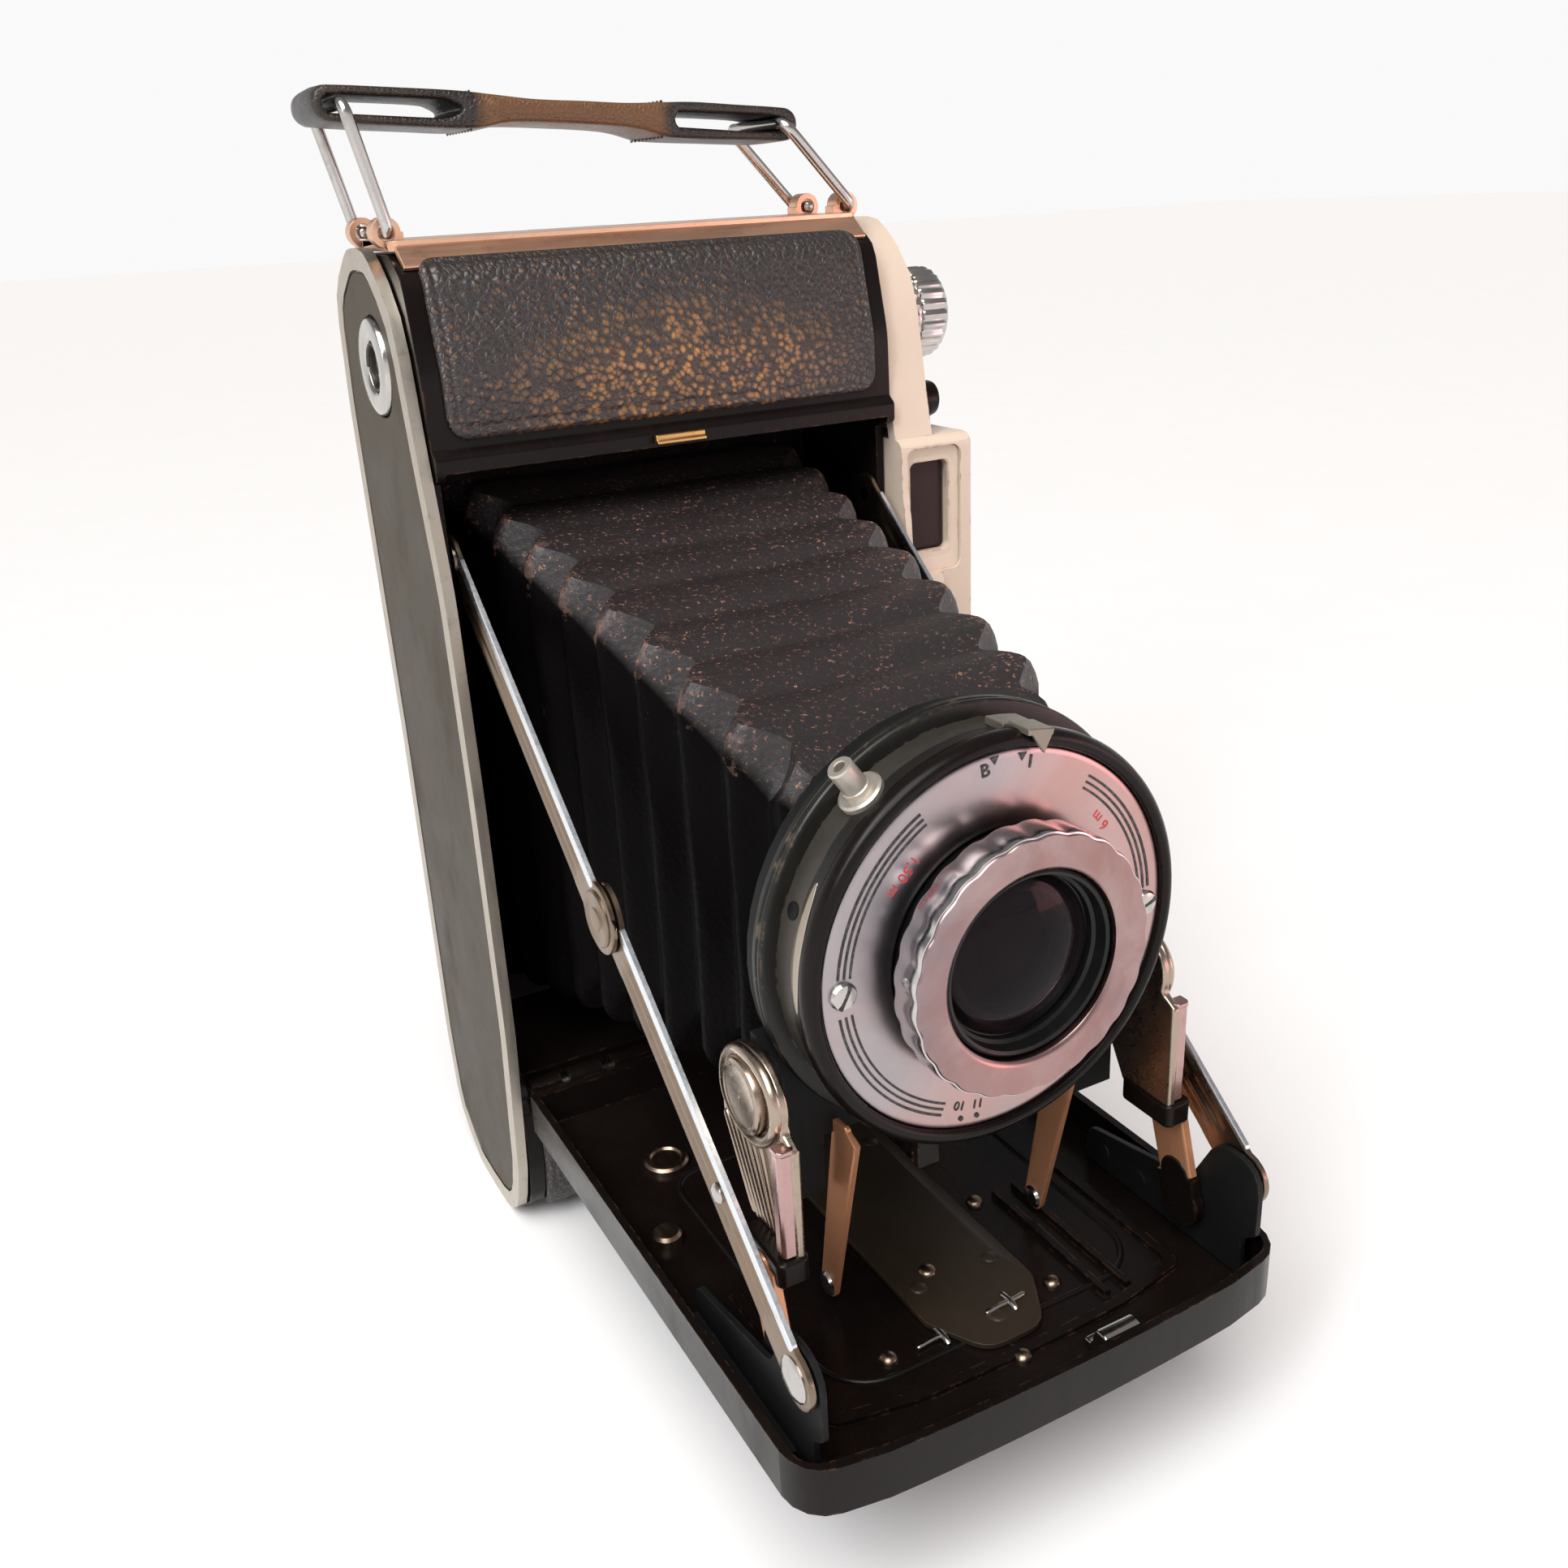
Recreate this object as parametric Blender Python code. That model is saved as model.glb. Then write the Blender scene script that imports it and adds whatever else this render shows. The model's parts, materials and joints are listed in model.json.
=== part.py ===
"""A folding roll-film camera, opened for use and standing on the end of its body.

X runs across the body, Y from the lens (front, -Y) to the back, Z up. Lengths below
are millimetres; every vertex is turned into metres when its mesh is made.
"""

import math

import bmesh
import bpy
from mathutils import Matrix, Vector

MM = 0.001

# ---- driving dimensions -------------------------------------------------------------
BODY_HALF = 38.4          # half the width of the body between its side covers
BODY_TOP = 162.5
BODY_BACK = 35.6          # rear edge of the body, where the back door closes
WALL = 1.4
RECESS = (31.0, 133.0)    # bottom and top of the front recess
GATE_FACE = 28.5          # front of the film gate plate
FILM_PLANE = 31.0
GATE_HALF = (28.5, 44.0)  # half width and half height of the picture gate
LENS_Z = 83.2             # height of the lens axis
CHAMBER_Y = 20.0
CHAMBER_R = 12.6
CHAMBER_Z = (16.5, 147.0)  # supply chamber below, take-up chamber above
HINGE = (0.0, 29.0)        # bed hinge axis, as (y, z)
BED_HALF = 38.0
BED_FRONT = -98.5
BED_BOTTOM = 24.4
BED_FLOOR = 25.7
BED_RIM = 31.5
BRACE_BODY = (4.9, 119.8)  # upper brace pivot on the body, as (y, z)
BRACE_BED = (-90.8, 41.0)  # lower brace pivot on the bed
LEG_FOOT = (-82.0, 32.5)   # leg pivot on the bed
LEG_HEAD = (-70.3, 66.4)   # leg pivot on the lens board
STRUT_FOOT = (-67.6, 29.8)  # ends of the props under the shutter
STRUT_HEAD = (-74.0, 57.8)
FOOT_PIN = (-62.0, 22.4)    # pivot of the stand foot under the bed
BOARD_Y = (-70.9, -69.3)   # front and rear face of the lens board
FACE_R = 24.6
CASE_R = 26.2
FLANGE_R = 28.2
BOARD_R = 27.6              # round upper part of the lens board
RING_R = 17.0
KNOB_R = 7.8
BAIL_PIVOT = (37.6, 165.4)  # handle pivots, as (|x|, z)
BAIL_L = (-41.5, 182.0)     # left and right handle bars, as (x, z)
BAIL_R = (25.9, 177.8)
GAP = 0.3                   # clearance between neighbouring pieces
ORIGIN_Y = 20.0             # the origin lies under the middle of the body


# ---- mesh helpers -------------------------------------------------------------------
def clear_scene():
    for obj in list(bpy.data.objects):
        bpy.data.objects.remove(obj, do_unlink=True)


def make(name, bm):
    """An object from a bmesh in millimetres, with its faces turned outwards."""
    bmesh.ops.remove_doubles(bm, verts=bm.verts, dist=1e-5)
    bmesh.ops.recalc_face_normals(bm, faces=bm.faces)
    bm.transform(Matrix.Scale(MM, 4))
    mesh = bpy.data.meshes.new(name)
    bm.to_mesh(mesh)
    bm.free()
    obj = bpy.data.objects.new(name, mesh)
    bpy.context.scene.collection.objects.link(obj)
    return obj


def fillet(corners, step=22.5):
    """A closed outline from (a, b, radius) corners, each corner rounded by its radius."""
    outline = []
    count = len(corners)
    for i, (a, b, r) in enumerate(corners):
        here = Vector((a, b))
        before = (Vector(corners[i - 1][:2]) - here).normalized()
        after = (Vector(corners[(i + 1) % count][:2]) - here).normalized()
        angle = before.angle(after)
        if r <= 0 or angle > math.pi - 0.02:
            outline.append((a, b))
            continue
        reach = r / math.tan(angle / 2)
        middle = here + (before + after).normalized() * (r / math.sin(angle / 2))
        start = here + before * reach - middle
        sweep = math.pi - angle
        turn = 1 if start.cross(here + after * reach - middle) > 0 else -1
        pieces = max(2, round(math.degrees(sweep) / step))
        for k in range(pieces + 1):
            t = turn * sweep * k / pieces
            outline.append((
                middle.x + start.x * math.cos(t) - start.y * math.sin(t),
                middle.y + start.x * math.sin(t) + start.y * math.cos(t),
            ))
    return outline


def placed(axis, a, b, along):
    """A point whose two outline coordinates are a and b, and which lies along an axis."""
    if axis == "X":
        return (along, a, b)
    if axis == "Y":
        return (a, along, b)
    return (a, b, along)


def prism(name, outline, axis, low, high):
    """An outline extruded along an axis: (y, z) for X, (x, z) for Y, (x, y) for Z."""
    bm = bmesh.new()
    near = [bm.verts.new(placed(axis, a, b, low)) for a, b in outline]
    far = [bm.verts.new(placed(axis, a, b, high)) for a, b in outline]
    bm.faces.new(near)
    bm.faces.new(far)
    for i in range(len(outline)):
        j = (i + 1) % len(outline)
        bm.faces.new((near[i], near[j], far[j], far[i]))
    return make(name, bm)


def box(name, x, y, z):
    return prism(name, [(x[0], y[0]), (x[1], y[0]), (x[1], y[1]), (x[0], y[1])], "Z", *z)


def rounded_box(name, axis, a, b, along, radius):
    corners = [(a[0], b[0]), (a[1], b[0]), (a[1], b[1]), (a[0], b[1])]
    return prism(name, fillet([(*c, radius) for c in corners]), axis, *along)


def lathe(name, profile, axis, centre, steps=32):
    """A closed profile of (radius, along) points turned about an axis through centre."""
    bm = bmesh.new()
    rings = []
    for r, along in profile:
        if r < 1e-6:
            rings.append([bm.verts.new(placed(axis, *centre, along))])
            continue
        ring = []
        for k in range(steps):
            t = 2 * math.pi * k / steps
            spot = (centre[0] + r * math.cos(t), centre[1] + r * math.sin(t))
            ring.append(bm.verts.new(placed(axis, *spot, along)))
        rings.append(ring)
    for i, first in enumerate(rings):
        second = rings[(i + 1) % len(rings)]
        if len(first) == 1 and len(second) == 1:
            continue
        for k in range(steps):
            n = (k + 1) % steps
            corners = [first[k % len(first)], first[n % len(first)]]
            corners += [second[n % len(second)], second[k % len(second)]]
            bm.faces.new(list(dict.fromkeys(corners)))
    return make(name, bm)


def rod(name, axis, centre, radius, low, high, steps=16):
    return lathe(name, [(0, low), (radius, low), (radius, high), (0, high)], axis, centre, steps)


def tube(name, axis, centre, radii, low, high, steps=32):
    inner, outer = radii
    profile = [(inner, low), (outer, low), (outer, high), (inner, high)]
    return lathe(name, profile, axis, centre, steps)


def fluted(name, axis, centre, radius, depth, flutes, low, high, rim=0.6):
    """A grip with scalloped sides and chamfered ends."""
    bm = bmesh.new()
    count = flutes * 2
    rings = []
    for along, inset in ((low, rim), (low + rim, 0), (high - rim, 0), (high, rim)):
        ring = []
        for k in range(count):
            t = 2 * math.pi * k / count
            r = radius - inset - depth * (0.5 - 0.5 * math.cos(flutes * t))
            spot = (centre[0] + r * math.cos(t), centre[1] + r * math.sin(t))
            ring.append(bm.verts.new(placed(axis, *spot, along)))
        rings.append(ring)
    bm.faces.new(rings[0])
    bm.faces.new(rings[-1])
    for first, second in zip(rings, rings[1:]):
        for k in range(count):
            n = (k + 1) % count
            bm.faces.new((first[k], first[n], second[n], second[k]))
    return make(name, bm)


def wire(name, path, radius, steps=10):
    """A round wire along a path, with flat ends."""
    bm = bmesh.new()
    points = [Vector(p) for p in path]
    rings = []
    side = None
    for i, point in enumerate(points):
        into = (point - points[i - 1]).normalized() if i else None
        out = (points[i + 1] - point).normalized() if i + 1 < len(points) else None
        along = ((into or out) + (out or into)).normalized()
        if side is None:
            side = along.orthogonal().normalized()
        side = (side - along * side.dot(along)).normalized()
        other = along.cross(side)
        stretch = 1 / max(0.5, along.dot(into or out))
        ring = []
        for k in range(steps):
            t = 2 * math.pi * k / steps
            spoke = side * math.cos(t) + other * math.sin(t)
            bend = ((out or into) - (into or out))
            if bend.length > 1e-6:
                bend.normalize()
                spoke += bend * spoke.dot(bend) * (stretch - 1)
            ring.append(bm.verts.new(point + spoke * radius))
        rings.append(ring)
    bm.faces.new(rings[0])
    bm.faces.new(rings[-1])
    for first, second in zip(rings, rings[1:]):
        for k in range(steps):
            n = (k + 1) % steps
            bm.faces.new((first[k], first[n], second[n], second[k]))
    return make(name, bm)


def combine(obj, tool, operation):
    modifier = obj.modifiers.new("shape", "BOOLEAN")
    modifier.operation = operation
    modifier.solver = "MANIFOLD"
    modifier.object = tool
    graph = bpy.context.evaluated_depsgraph_get()
    mesh = bpy.data.meshes.new_from_object(obj.evaluated_get(graph))
    obj.modifiers.clear()
    old = obj.data
    obj.data = mesh
    bpy.data.meshes.remove(old)
    bpy.data.objects.remove(tool, do_unlink=True)
    obj.data.name = obj.name
    return obj


def cut(obj, *tools):
    for tool in tools:
        combine(obj, tool, "DIFFERENCE")
    return obj


def join(obj, *tools):
    for tool in tools:
        combine(obj, tool, "UNION")
    return obj


def keep_common(obj, tool):
    return combine(obj, tool, "INTERSECT")


def offset(outline, distance):
    """An outline moved inwards by distance, for one whose corners are already rounded."""
    area = sum(p[0] * q[1] - q[0] * p[1] for p, q in zip(outline, outline[1:] + outline[:1]))
    turn = 1 if area > 0 else -1
    moved = []
    count = len(outline)
    for i in range(count):
        a, b, c = (Vector(outline[j % count]) for j in (i - 1, i, i + 1))
        first, second = (b - a).normalized(), (c - b).normalized()
        normals = [Vector((-v.y, v.x)) * turn for v in (first, second)]
        middle = (normals[0] + normals[1]).normalized()
        spot = b + middle * distance / max(0.3, middle.dot(normals[0]))
        moved.append((spot.x, spot.y))
    return moved


# ---- body ---------------------------------------------------------------------------
# Side view of the body between its covers, as (y, z, corner radius).
BODY_SIDE = [
    (12.0, 0.0, 6.0), (2.6, 4.6, 6.0), (0.6, 14.0, 8.0), (0.6, 24.5, 0.4), (3.0, 26.0, 0),
    (3.0, 131.2, 0), (-0.8, 132.2, 0.8), (-0.8, 135.2, 0.8), (0.6, 136.2, 0.4),
    (0.8, 146.0, 12.0), (4.4, 160.0, 5.0), (10.0, BODY_TOP, 4.0),
    (31.0, BODY_TOP, 5.0), (BODY_BACK, 156.0, 4.0), (BODY_BACK, 6.5, 4.0), (31.0, 0.0, 5.0),
]
# Side view of the covers, which stand a little proud of the body all round.
COVER_SIDE = [
    (18.0, -0.0, 8.0), (5.0, 1.0, 10.0), (0.6, 14.0, 14.0), (-3.2, 42.0, 40.0),
    (-4.0, 84.0, 60.0), (-3.2, 116.0, 40.0), (1.2, 136.0, 30.0), (4.6, 155.0, 16.0),
    (15.0, 163.4, 9.0), (25.0, 163.4, 9.0), (36.6, 157.0, 9.0), (38.4, 140.0, 30.0),
    (37.2, 84.0, 80.0), (38.8, 24.0, 30.0), (37.0, 6.0, 10.0), (26.0, -0.0, 8.0),
]


def chamber(z):
    """The space for one spool, open to the back."""
    room = rod("room", "X", (CHAMBER_Y, z), CHAMBER_R, -33.5, 33.5, 28)
    back = box("back", (-33.5, 33.5), (CHAMBER_Y, 60), (z - CHAMBER_R, z + CHAMBER_R))
    return join(room, back)


def build_body():
    body = prism("body_shell", fillet(BODY_SIDE), "X", -BODY_HALF, BODY_HALF)
    inner = BODY_HALF - WALL
    cut(body, box("recess", (-inner, inner), (-20, GATE_FACE), RECESS))
    cut(body, box("film", (-35.2, 35.2), (FILM_PLANE, 60), (8.0, 154.5)))
    for z in CHAMBER_Z:
        cut(body, chamber(z))
    half_x, half_z = GATE_HALF
    gate_z = (LENS_Z - half_z, LENS_Z + half_z)
    cut(body, box("gate", (-half_x, half_x), (20, 60), gate_z))
    for z in CHAMBER_Z:
        join(body, rod("pivot", "X", (CHAMBER_Y, z), 1.9, -34.5, -31.0))
    join(body, rod("pivot", "X", (CHAMBER_Y, CHAMBER_Z[0]), 1.9, 31.0, 34.5))
    cut(body, rod("shaft", "X", (CHAMBER_Y, CHAMBER_Z[1]), 2.7, 30, 50))
    for side in (-1, 1):
        low, high = sorted((side * 35.6, side * 38.0))
        join(body, rod("brace_pin", "X", BRACE_BODY, 1.3, low, high))
        low, high = sorted((side * 24.0, side * 30.0))
        knuckle = tube("knuckle", "X", HINGE, (1.35, 2.3), low, high, 20)
        web = box("web", (low, high), (1.6, 4.5), (25.5, 29.6))
        cut(web, rod("clear", "X", HINGE, 1.35, -60, 60))
        join(body, join(knuckle, web))
    low_knuckle = rod("back_knuckle", "X", (37.0, 3.6), 2.0, -12, 12, 20)
    join(low_knuckle, box("back_web", (-12, 12), (30.0, 36.6), (2.2, 4.6)))
    cut(low_knuckle, rod("clear", "X", (37.0, 3.6), 1.3, -40, 40))
    join(body, low_knuckle)
    cut(body, rod("release", "X", (8.0, 133.8), 1.9, 36.0, 45.0))


def build_covers():
    outline = fillet(COVER_SIDE)
    bush = (CHAMBER_Y - 3.0, CHAMBER_Z[1])
    cover = prism("left_side_cover", outline, "X", -40.4, -BODY_HALF - GAP)
    cut(cover, prism("dish", offset(outline, 3.0), "X", -50, -39.6))
    cut(cover, rod("bush_hole", "X", bush, 7.4, -50, -30, 32))
    panel = prism("left_side_panel", offset(outline, 3.3), "X", -40.3, -39.8)
    cut(panel, rod("bush_hole", "X", bush, 7.4, -50, -30, 32))
    lathe("tripod_bush", [
        (0, -38.7), (7.0, -38.7), (7.0, -40.6), (6.3, -41.2), (3.8, -41.2), (3.1, -40.6),
        (3.1, -39.3), (0, -39.3),
    ], "X", bush, 32)

    housing = prism("right_housing", outline, "X", BODY_HALF + GAP, 46.0)
    cut(housing, prism("hollow", offset(outline, 2.0), "X", 30, 44.4))
    block = [(-2.2, 92.0, 2.0), (31.0, 92.0, 3.0), (31.0, 129.0, 3.0), (-2.2, 129.0, 2.0)]
    finder = prism("finder", fillet(block), "X", BODY_HALF + GAP, 52.5)
    join(housing, finder)
    cut(housing, rounded_box("tunnel", "Y", (40.9, 48.7), (109.6, 125.0), (-20, 60), 1.0))
    cut(housing, rounded_box("frame", "Y", (39.9, 50.4), (106.2, 127.4), (-9, -1.2), 1.6))
    join(housing, tube("boss", "X", (CHAMBER_Y, CHAMBER_Z[1]), (2.8, 6.0), 42.0, 46.5, 32))
    cut(housing, rod("shaft", "X", (CHAMBER_Y, CHAMBER_Z[1]), 2.8, 30, 60))
    join(housing, rod("collar", "X", (8.0, 133.8), 4.0, 42.0, 46.6, 24))
    cut(housing, rod("release", "X", (8.0, 133.8), 1.9, 30, 60))
    rounded_box("finder_front_glass", "Y", (41.2, 48.4), (109.9, 124.7), (0.4, 1.6), 0.8)
    eyepiece = rounded_box("finder_eyepiece", "Y", (41.2, 48.4), (109.9, 124.7), (28.0, 31.8), 0.8)
    cut(eyepiece, lathe("dish", [
        (0, 29.6), (2.6, 29.9), (3.0, 30.6), (3.0, 40), (0, 40),
    ], "Y", (44.8, 117.3), 24))


def build_top():
    plate = rounded_box("top_plate", "Z", (-38.0, 38.0), (8.6, 30.4), (162.9, 164.3), 1.2)
    for side in (-1, 1):
        for y in ((11.2, 14.0), (24.0, 26.8)):
            low, high = sorted((side * 35.2, side * 38.0))
            lug = rod("lug", "Y", (side * BAIL_PIVOT[0], BAIL_PIVOT[1]), 2.1, *y, 20)
            join(lug, box("foot", (low, high), y, (163.4, 165.4)))
            cut(lug, rod("eye", "Y", (side * BAIL_PIVOT[0], BAIL_PIVOT[1]), 1.25, 5, 35))
            join(plate, lug)
    latch = box("back_latch", (-7.0, 7.0), (31.2, 40.0), (162.9, 164.2))
    join(latch, box("hook", (-7.0, 7.0), (38.9, 40.0), (159.4, 164.0)))


def panel_over(name, side, start, end, half, corner):
    """A covering that follows part of the body's front, from one height to another."""
    strip = [(y, z) for y, z in side if start <= z <= end and y < 15]
    strip.sort(key=lambda point: point[1])
    outer, inner = [], []
    for i, (y, z) in enumerate(strip):
        before, after = strip[max(i - 1, 0)], strip[min(i + 1, len(strip) - 1)]
        along = Vector((after[0] - before[0], after[1] - before[1])).normalized()
        out = Vector((-along.y, along.x))
        inner.append((y + out.x * GAP, z + out.y * GAP))
        outer.append((y + out.x * 1.0, z + out.y * 1.0))
    sheet = prism(name, inner + outer[::-1], "X", -half, half)
    low, high = strip[0][1], strip[-1][1]
    return keep_common(sheet, rounded_box("trim", "Y", (-half, half), (low, high), (-30, 30), corner))


def build_coverings():
    side = fillet(BODY_SIDE, 6.0)
    dense = []
    for (ya, za), (yb, zb) in zip(side, side[1:]):
        pieces = max(1, int(abs(zb - za) / 2.0))
        dense += [(ya + (yb - ya) * k / pieces, za + (zb - za) * k / pieces) for k in range(pieces)]
    panel_over("leather_top_panel", dense, 137.2, 161.4, 35.6, 3.0)
    panel_over("leather_bottom_panel", dense, 2.6, 23.6, 35.6, 3.0)
    catch = box("door_catch", (-4.8, 3.4), (-2.1, -1.1), (133.6, 135.0))
    join(catch, box("grip", (-4.8, 3.4), (-2.6, -1.6), (133.6, 134.2)))


def build_winding():
    axis = (CHAMBER_Y, CHAMBER_Z[1])
    knob = fluted("winding_knob", "X", axis, KNOB_R, 0.5, 30, 47.0, 59.0)
    join(knob, rod("shaft", "X", axis, 2.3, 32.9, 48.0))
    for name, z in (("supply_spool", CHAMBER_Z[0]), ("take_up_spool", CHAMBER_Z[1])):
        lathe(name, [
            (2.4, -32.4), (11.2, -32.4), (11.2, -31.6), (4.6, -31.6), (4.6, 31.6), (11.2, 31.6),
            (11.2, 32.4), (2.4, 32.4), (2.4, 28.0), (0, 28.0), (0, -28.0), (2.4, -28.0),
        ], "X", (CHAMBER_Y, z), 24)
    button = lathe("release_button", [
        (0, 41.0), (1.5, 41.0), (1.5, 48.8), (3.0, 48.8), (3.0, 51.0), (2.4, 51.7), (0, 51.9),
    ], "X", (8.0, 133.8), 20)
    for name, z in (("roller_bottom", 26.7), ("roller_top", 136.8)):
        lathe(name, [
            (0, -33.2), (0.7, -33.2), (0.7, -30.9), (1.7, -30.9), (1.7, 30.9), (0.7, 30.9),
            (0.7, 33.2), (0, 33.2),
        ], "X", (28.7, z), 16)
    return button


# ---- handle -------------------------------------------------------------------------
def build_handle():
    for name, side, bar in (("bail_left", -1, BAIL_L), ("bail_right", 1, BAIL_R)):
        foot = Vector((side * BAIL_PIVOT[0], BAIL_PIVOT[1]))
        head = Vector(bar)
        bend = foot + (head - foot) * 0.9
        path = [
            (foot.x, 13.6, foot.y), (foot.x, 10.2, foot.y),
            (foot.x + (head.x - foot.x) * 0.05, 9.6, foot.y + (head.y - foot.y) * 0.05),
            (bend.x, 9.6, bend.y), (head.x, 11.2, head.y),
            (head.x, 26.8, head.y), (bend.x, 28.4, bend.y),
            (foot.x + (head.x - foot.x) * 0.05, 28.4, foot.y + (head.y - foot.y) * 0.05),
            (foot.x, 27.8, foot.y), (foot.x, 24.4, foot.y),
        ]
        wire(name, path, 0.9)
    start, end = Vector(BAIL_L), Vector(BAIL_R)
    along = (end - start).normalized()
    up = Vector((-along.y, along.x))
    length = (end - start).length

    def spot(s, h, r):
        point = start + along * s + up * h
        return (point.x, point.y, r)

    band = prism("handle_strap", fillet([
        spot(-3.6, -2.4, 2.2), spot(19.0, -2.4, 1.0), spot(22.0, -1.0, 1.0),
        spot(44.0, -1.0, 1.0), spot(47.0, -2.4, 1.0), spot(length + 6.4, -2.4, 2.2),
        spot(length + 6.4, 2.4, 2.2), spot(46.0, 2.4, 4.0), spot(32.0, 3.2, 20.0),
        spot(20.0, 2.4, 4.0), spot(-3.6, 2.4, 2.2),
    ]), "Y", 11.8, 26.2)
    for low, high in ((-2.2, 17.5), (49.0, length + 5.0)):
        cut(band, prism("loop", fillet([
            spot(low, -1.3, 1.2), spot(high, -1.3, 0.9), spot(high, 1.3, 0.9), spot(low, 1.3, 1.2),
        ]), "Y", 5, 35))


# ---- back ---------------------------------------------------------------------------
WINDOW = (0.0, 62.0)  # centre of the film counter window, as (x, z)


def build_back():
    door = rounded_box("back_door", "Y", (-38.2, 38.2), (6.4, 158.2), (35.9, 38.4), 6.0)
    cut(door, rod("window", "Y", WINDOW, 4.4, 30, 45, 24))
    for side in (-1, 1):
        low, high = sorted((side * 12.5, side * 30.0))
        knuckle = rod("knuckle", "X", (37.0, 3.6), 2.0, low, high, 20)
        cut(knuckle, rod("clear", "X", (37.0, 3.6), 1.3, -40, 40))
        web = box("web", (low + 0.4, high - 0.4), (36.1, 38.1), (5.1, 9.0))
        join(door, join(knuckle, web))
    rod("back_hinge_pin", "X", (37.0, 3.6), 1.0, -30.4, 30.4, 16)
    leather = rounded_box("back_leather", "Y", (-35.0, 35.0), (13.0, 152.0), (38.7, 39.4), 6.0)
    cut(leather, rounded_box("clear", "Y", (-9.0, 9.0), (54.0, 80.0), (30, 45), 2.0))
    rod("red_window", "Y", WINDOW, 4.1, 36.2, 38.2, 24)
    slide = rounded_box("window_slide", "Y", (-8.2, 8.2), (55.0, 69.0), (38.7, 39.7), 1.5)
    for z in (60.0, 62.0, 64.0):
        join(slide, box("grip", (-5.0, 5.0), (39.2, 40.6), (z - 0.5, z + 0.5)))
    plate = rounded_box("pressure_plate", "Y", (-31.0, 31.0), (36.0, 130.0), (31.4, 32.4), 3.0)
    for z in (52.0, 83.0, 114.0):
        join(plate, prism("spring", [
            (32.0, z - 9), (32.4, z - 9), (35.2, z - 2), (35.2, z + 2), (32.4, z + 9),
            (32.0, z + 9), (34.4, z + 2), (34.4, z - 2),
        ], "X", -9, 9))


# ---- bed ----------------------------------------------------------------------------
def bed_plan(inset=0.0):
    """Plan of the bed: straight sides, a bowed front and rounded corners."""
    half = BED_HALF - inset
    front = BED_FRONT + inset
    bow = [(half * math.sin(t / 10 * math.pi / 2), 2.6 * (1 - math.cos(t / 10 * math.pi / 2)))
           for t in range(-7, 8)]
    corner = 6.0 - 2.0 * inset if inset < 2.0 else 6.0 - 0.4 * inset
    corners = [(half, -3.0 - inset, 1.0), (-half, -3.0 - inset, 1.0), (-half, front + 2.6, corner)]
    corners += [(x, front + y, 0) for x, y in bow if abs(x) < half - 9]
    corners += [(half, front + 2.6, corner)]
    return fillet(corners)


def build_bed():
    bed = prism("bed_shell", bed_plan(), "Z", BED_BOTTOM, BED_RIM)
    cut(bed, prism("tray", bed_plan(1.2), "Z", BED_FLOOR, 50))
    cut(bed, box("heel", (-50, 50), (-4.4, 5), (20, 40)))
    # An embossed outline stiffens the floor, with two ridges for the focusing slot.
    frame = prism("frame", bed_plan(9.5), "Z", BED_FLOOR - 0.7, BED_FLOOR + 0.6)
    cut(frame, prism("inside", bed_plan(11.0), "Z", 20, 40))
    cut(frame, box("rear", (-60, 60), (-58, 20), (20, 40)))
    join(bed, frame)
    for x in (15.6, 19.2):
        join(bed, box("ridge", (x - 0.5, x + 0.5), (-86, -60), (BED_FLOOR - 0.7, BED_FLOOR + 1.0)))
    heel = box("heel_wall", (-BED_HALF + 1, BED_HALF - 1), (-5.8, -4.2), (BED_BOTTOM, BED_RIM))
    join(bed, heel)
    for low, high in ((-22.0, 22.0), (-36.6, -31.4), (31.4, 36.6)):
        knuckle = rod("knuckle", "X", HINGE, 2.3, low, high, 20)
        join(knuckle, box("arm", (low, high), (-5.0, 0.0), (27.4, 30.6)))
        cut(knuckle, rod("clear", "X", HINGE, 1.35, -60, 60))
        join(bed, knuckle)
    for side in (-1, 1):
        low, high = sorted((side * 9.6, side * 12.6))
        lug = prism("foot_lug", fillet([
            (-64.4, 25.0, 0), (-64.4, 20.0, 2.2), (-59.6, 20.0, 2.2), (-59.6, 25.0, 0),
        ]), "X", low, high)
        cut(lug, rod("eye", "X", FOOT_PIN, 1.3, -20, 20, 16))
        join(bed, lug)
    rod("bed_hinge_pin", "X", HINGE, 1.05, -36.6, 36.6, 16)

    leather = prism("bed_leather", bed_plan(3.0), "Z", BED_BOTTOM - 1.1, BED_BOTTOM - 0.3)
    cut(leather, box("heel", (-60, 60), (-8, 20), (20, 40)))
    cut(leather, rounded_box("clear", "Z", (-16, 16), (-68, -33), (20, 40), 2.0))
    tongue = [(-9.0, -32.0, 2.0), (9.0, -32.0, 2.0), (9.0, -78.0, 3.0), (4.5, -86.4, 4.0),
              (-4.5, -86.4, 4.0), (-9.0, -78.0, 3.0)]
    plate = prism("bed_tongue_plate", fillet(tongue), "Z", BED_FLOOR + GAP, 26.8)
    for x, y in ((-6.0, -72.0), (6.0, -72.0), (0.0, -82.0), (-6.0, -40.0), (6.0, -40.0)):
        join(plate, lathe("rivet", [(0, 26.5), (1.3, 26.5), (1.1, 27.0), (0, 27.2)], "Z", (x, y), 12))
    latch = prism("bed_latch", fillet([
        (-95.8, 26.0, 0), (-95.8, 30.0, 0.8), (-93.4, 30.0, 0.8), (-92.8, 27.2, 0.5),
        (-91.4, 27.2, 0), (-91.4, 26.0, 0),
    ]), "X", 7.0, 13.0)
    return latch


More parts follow.
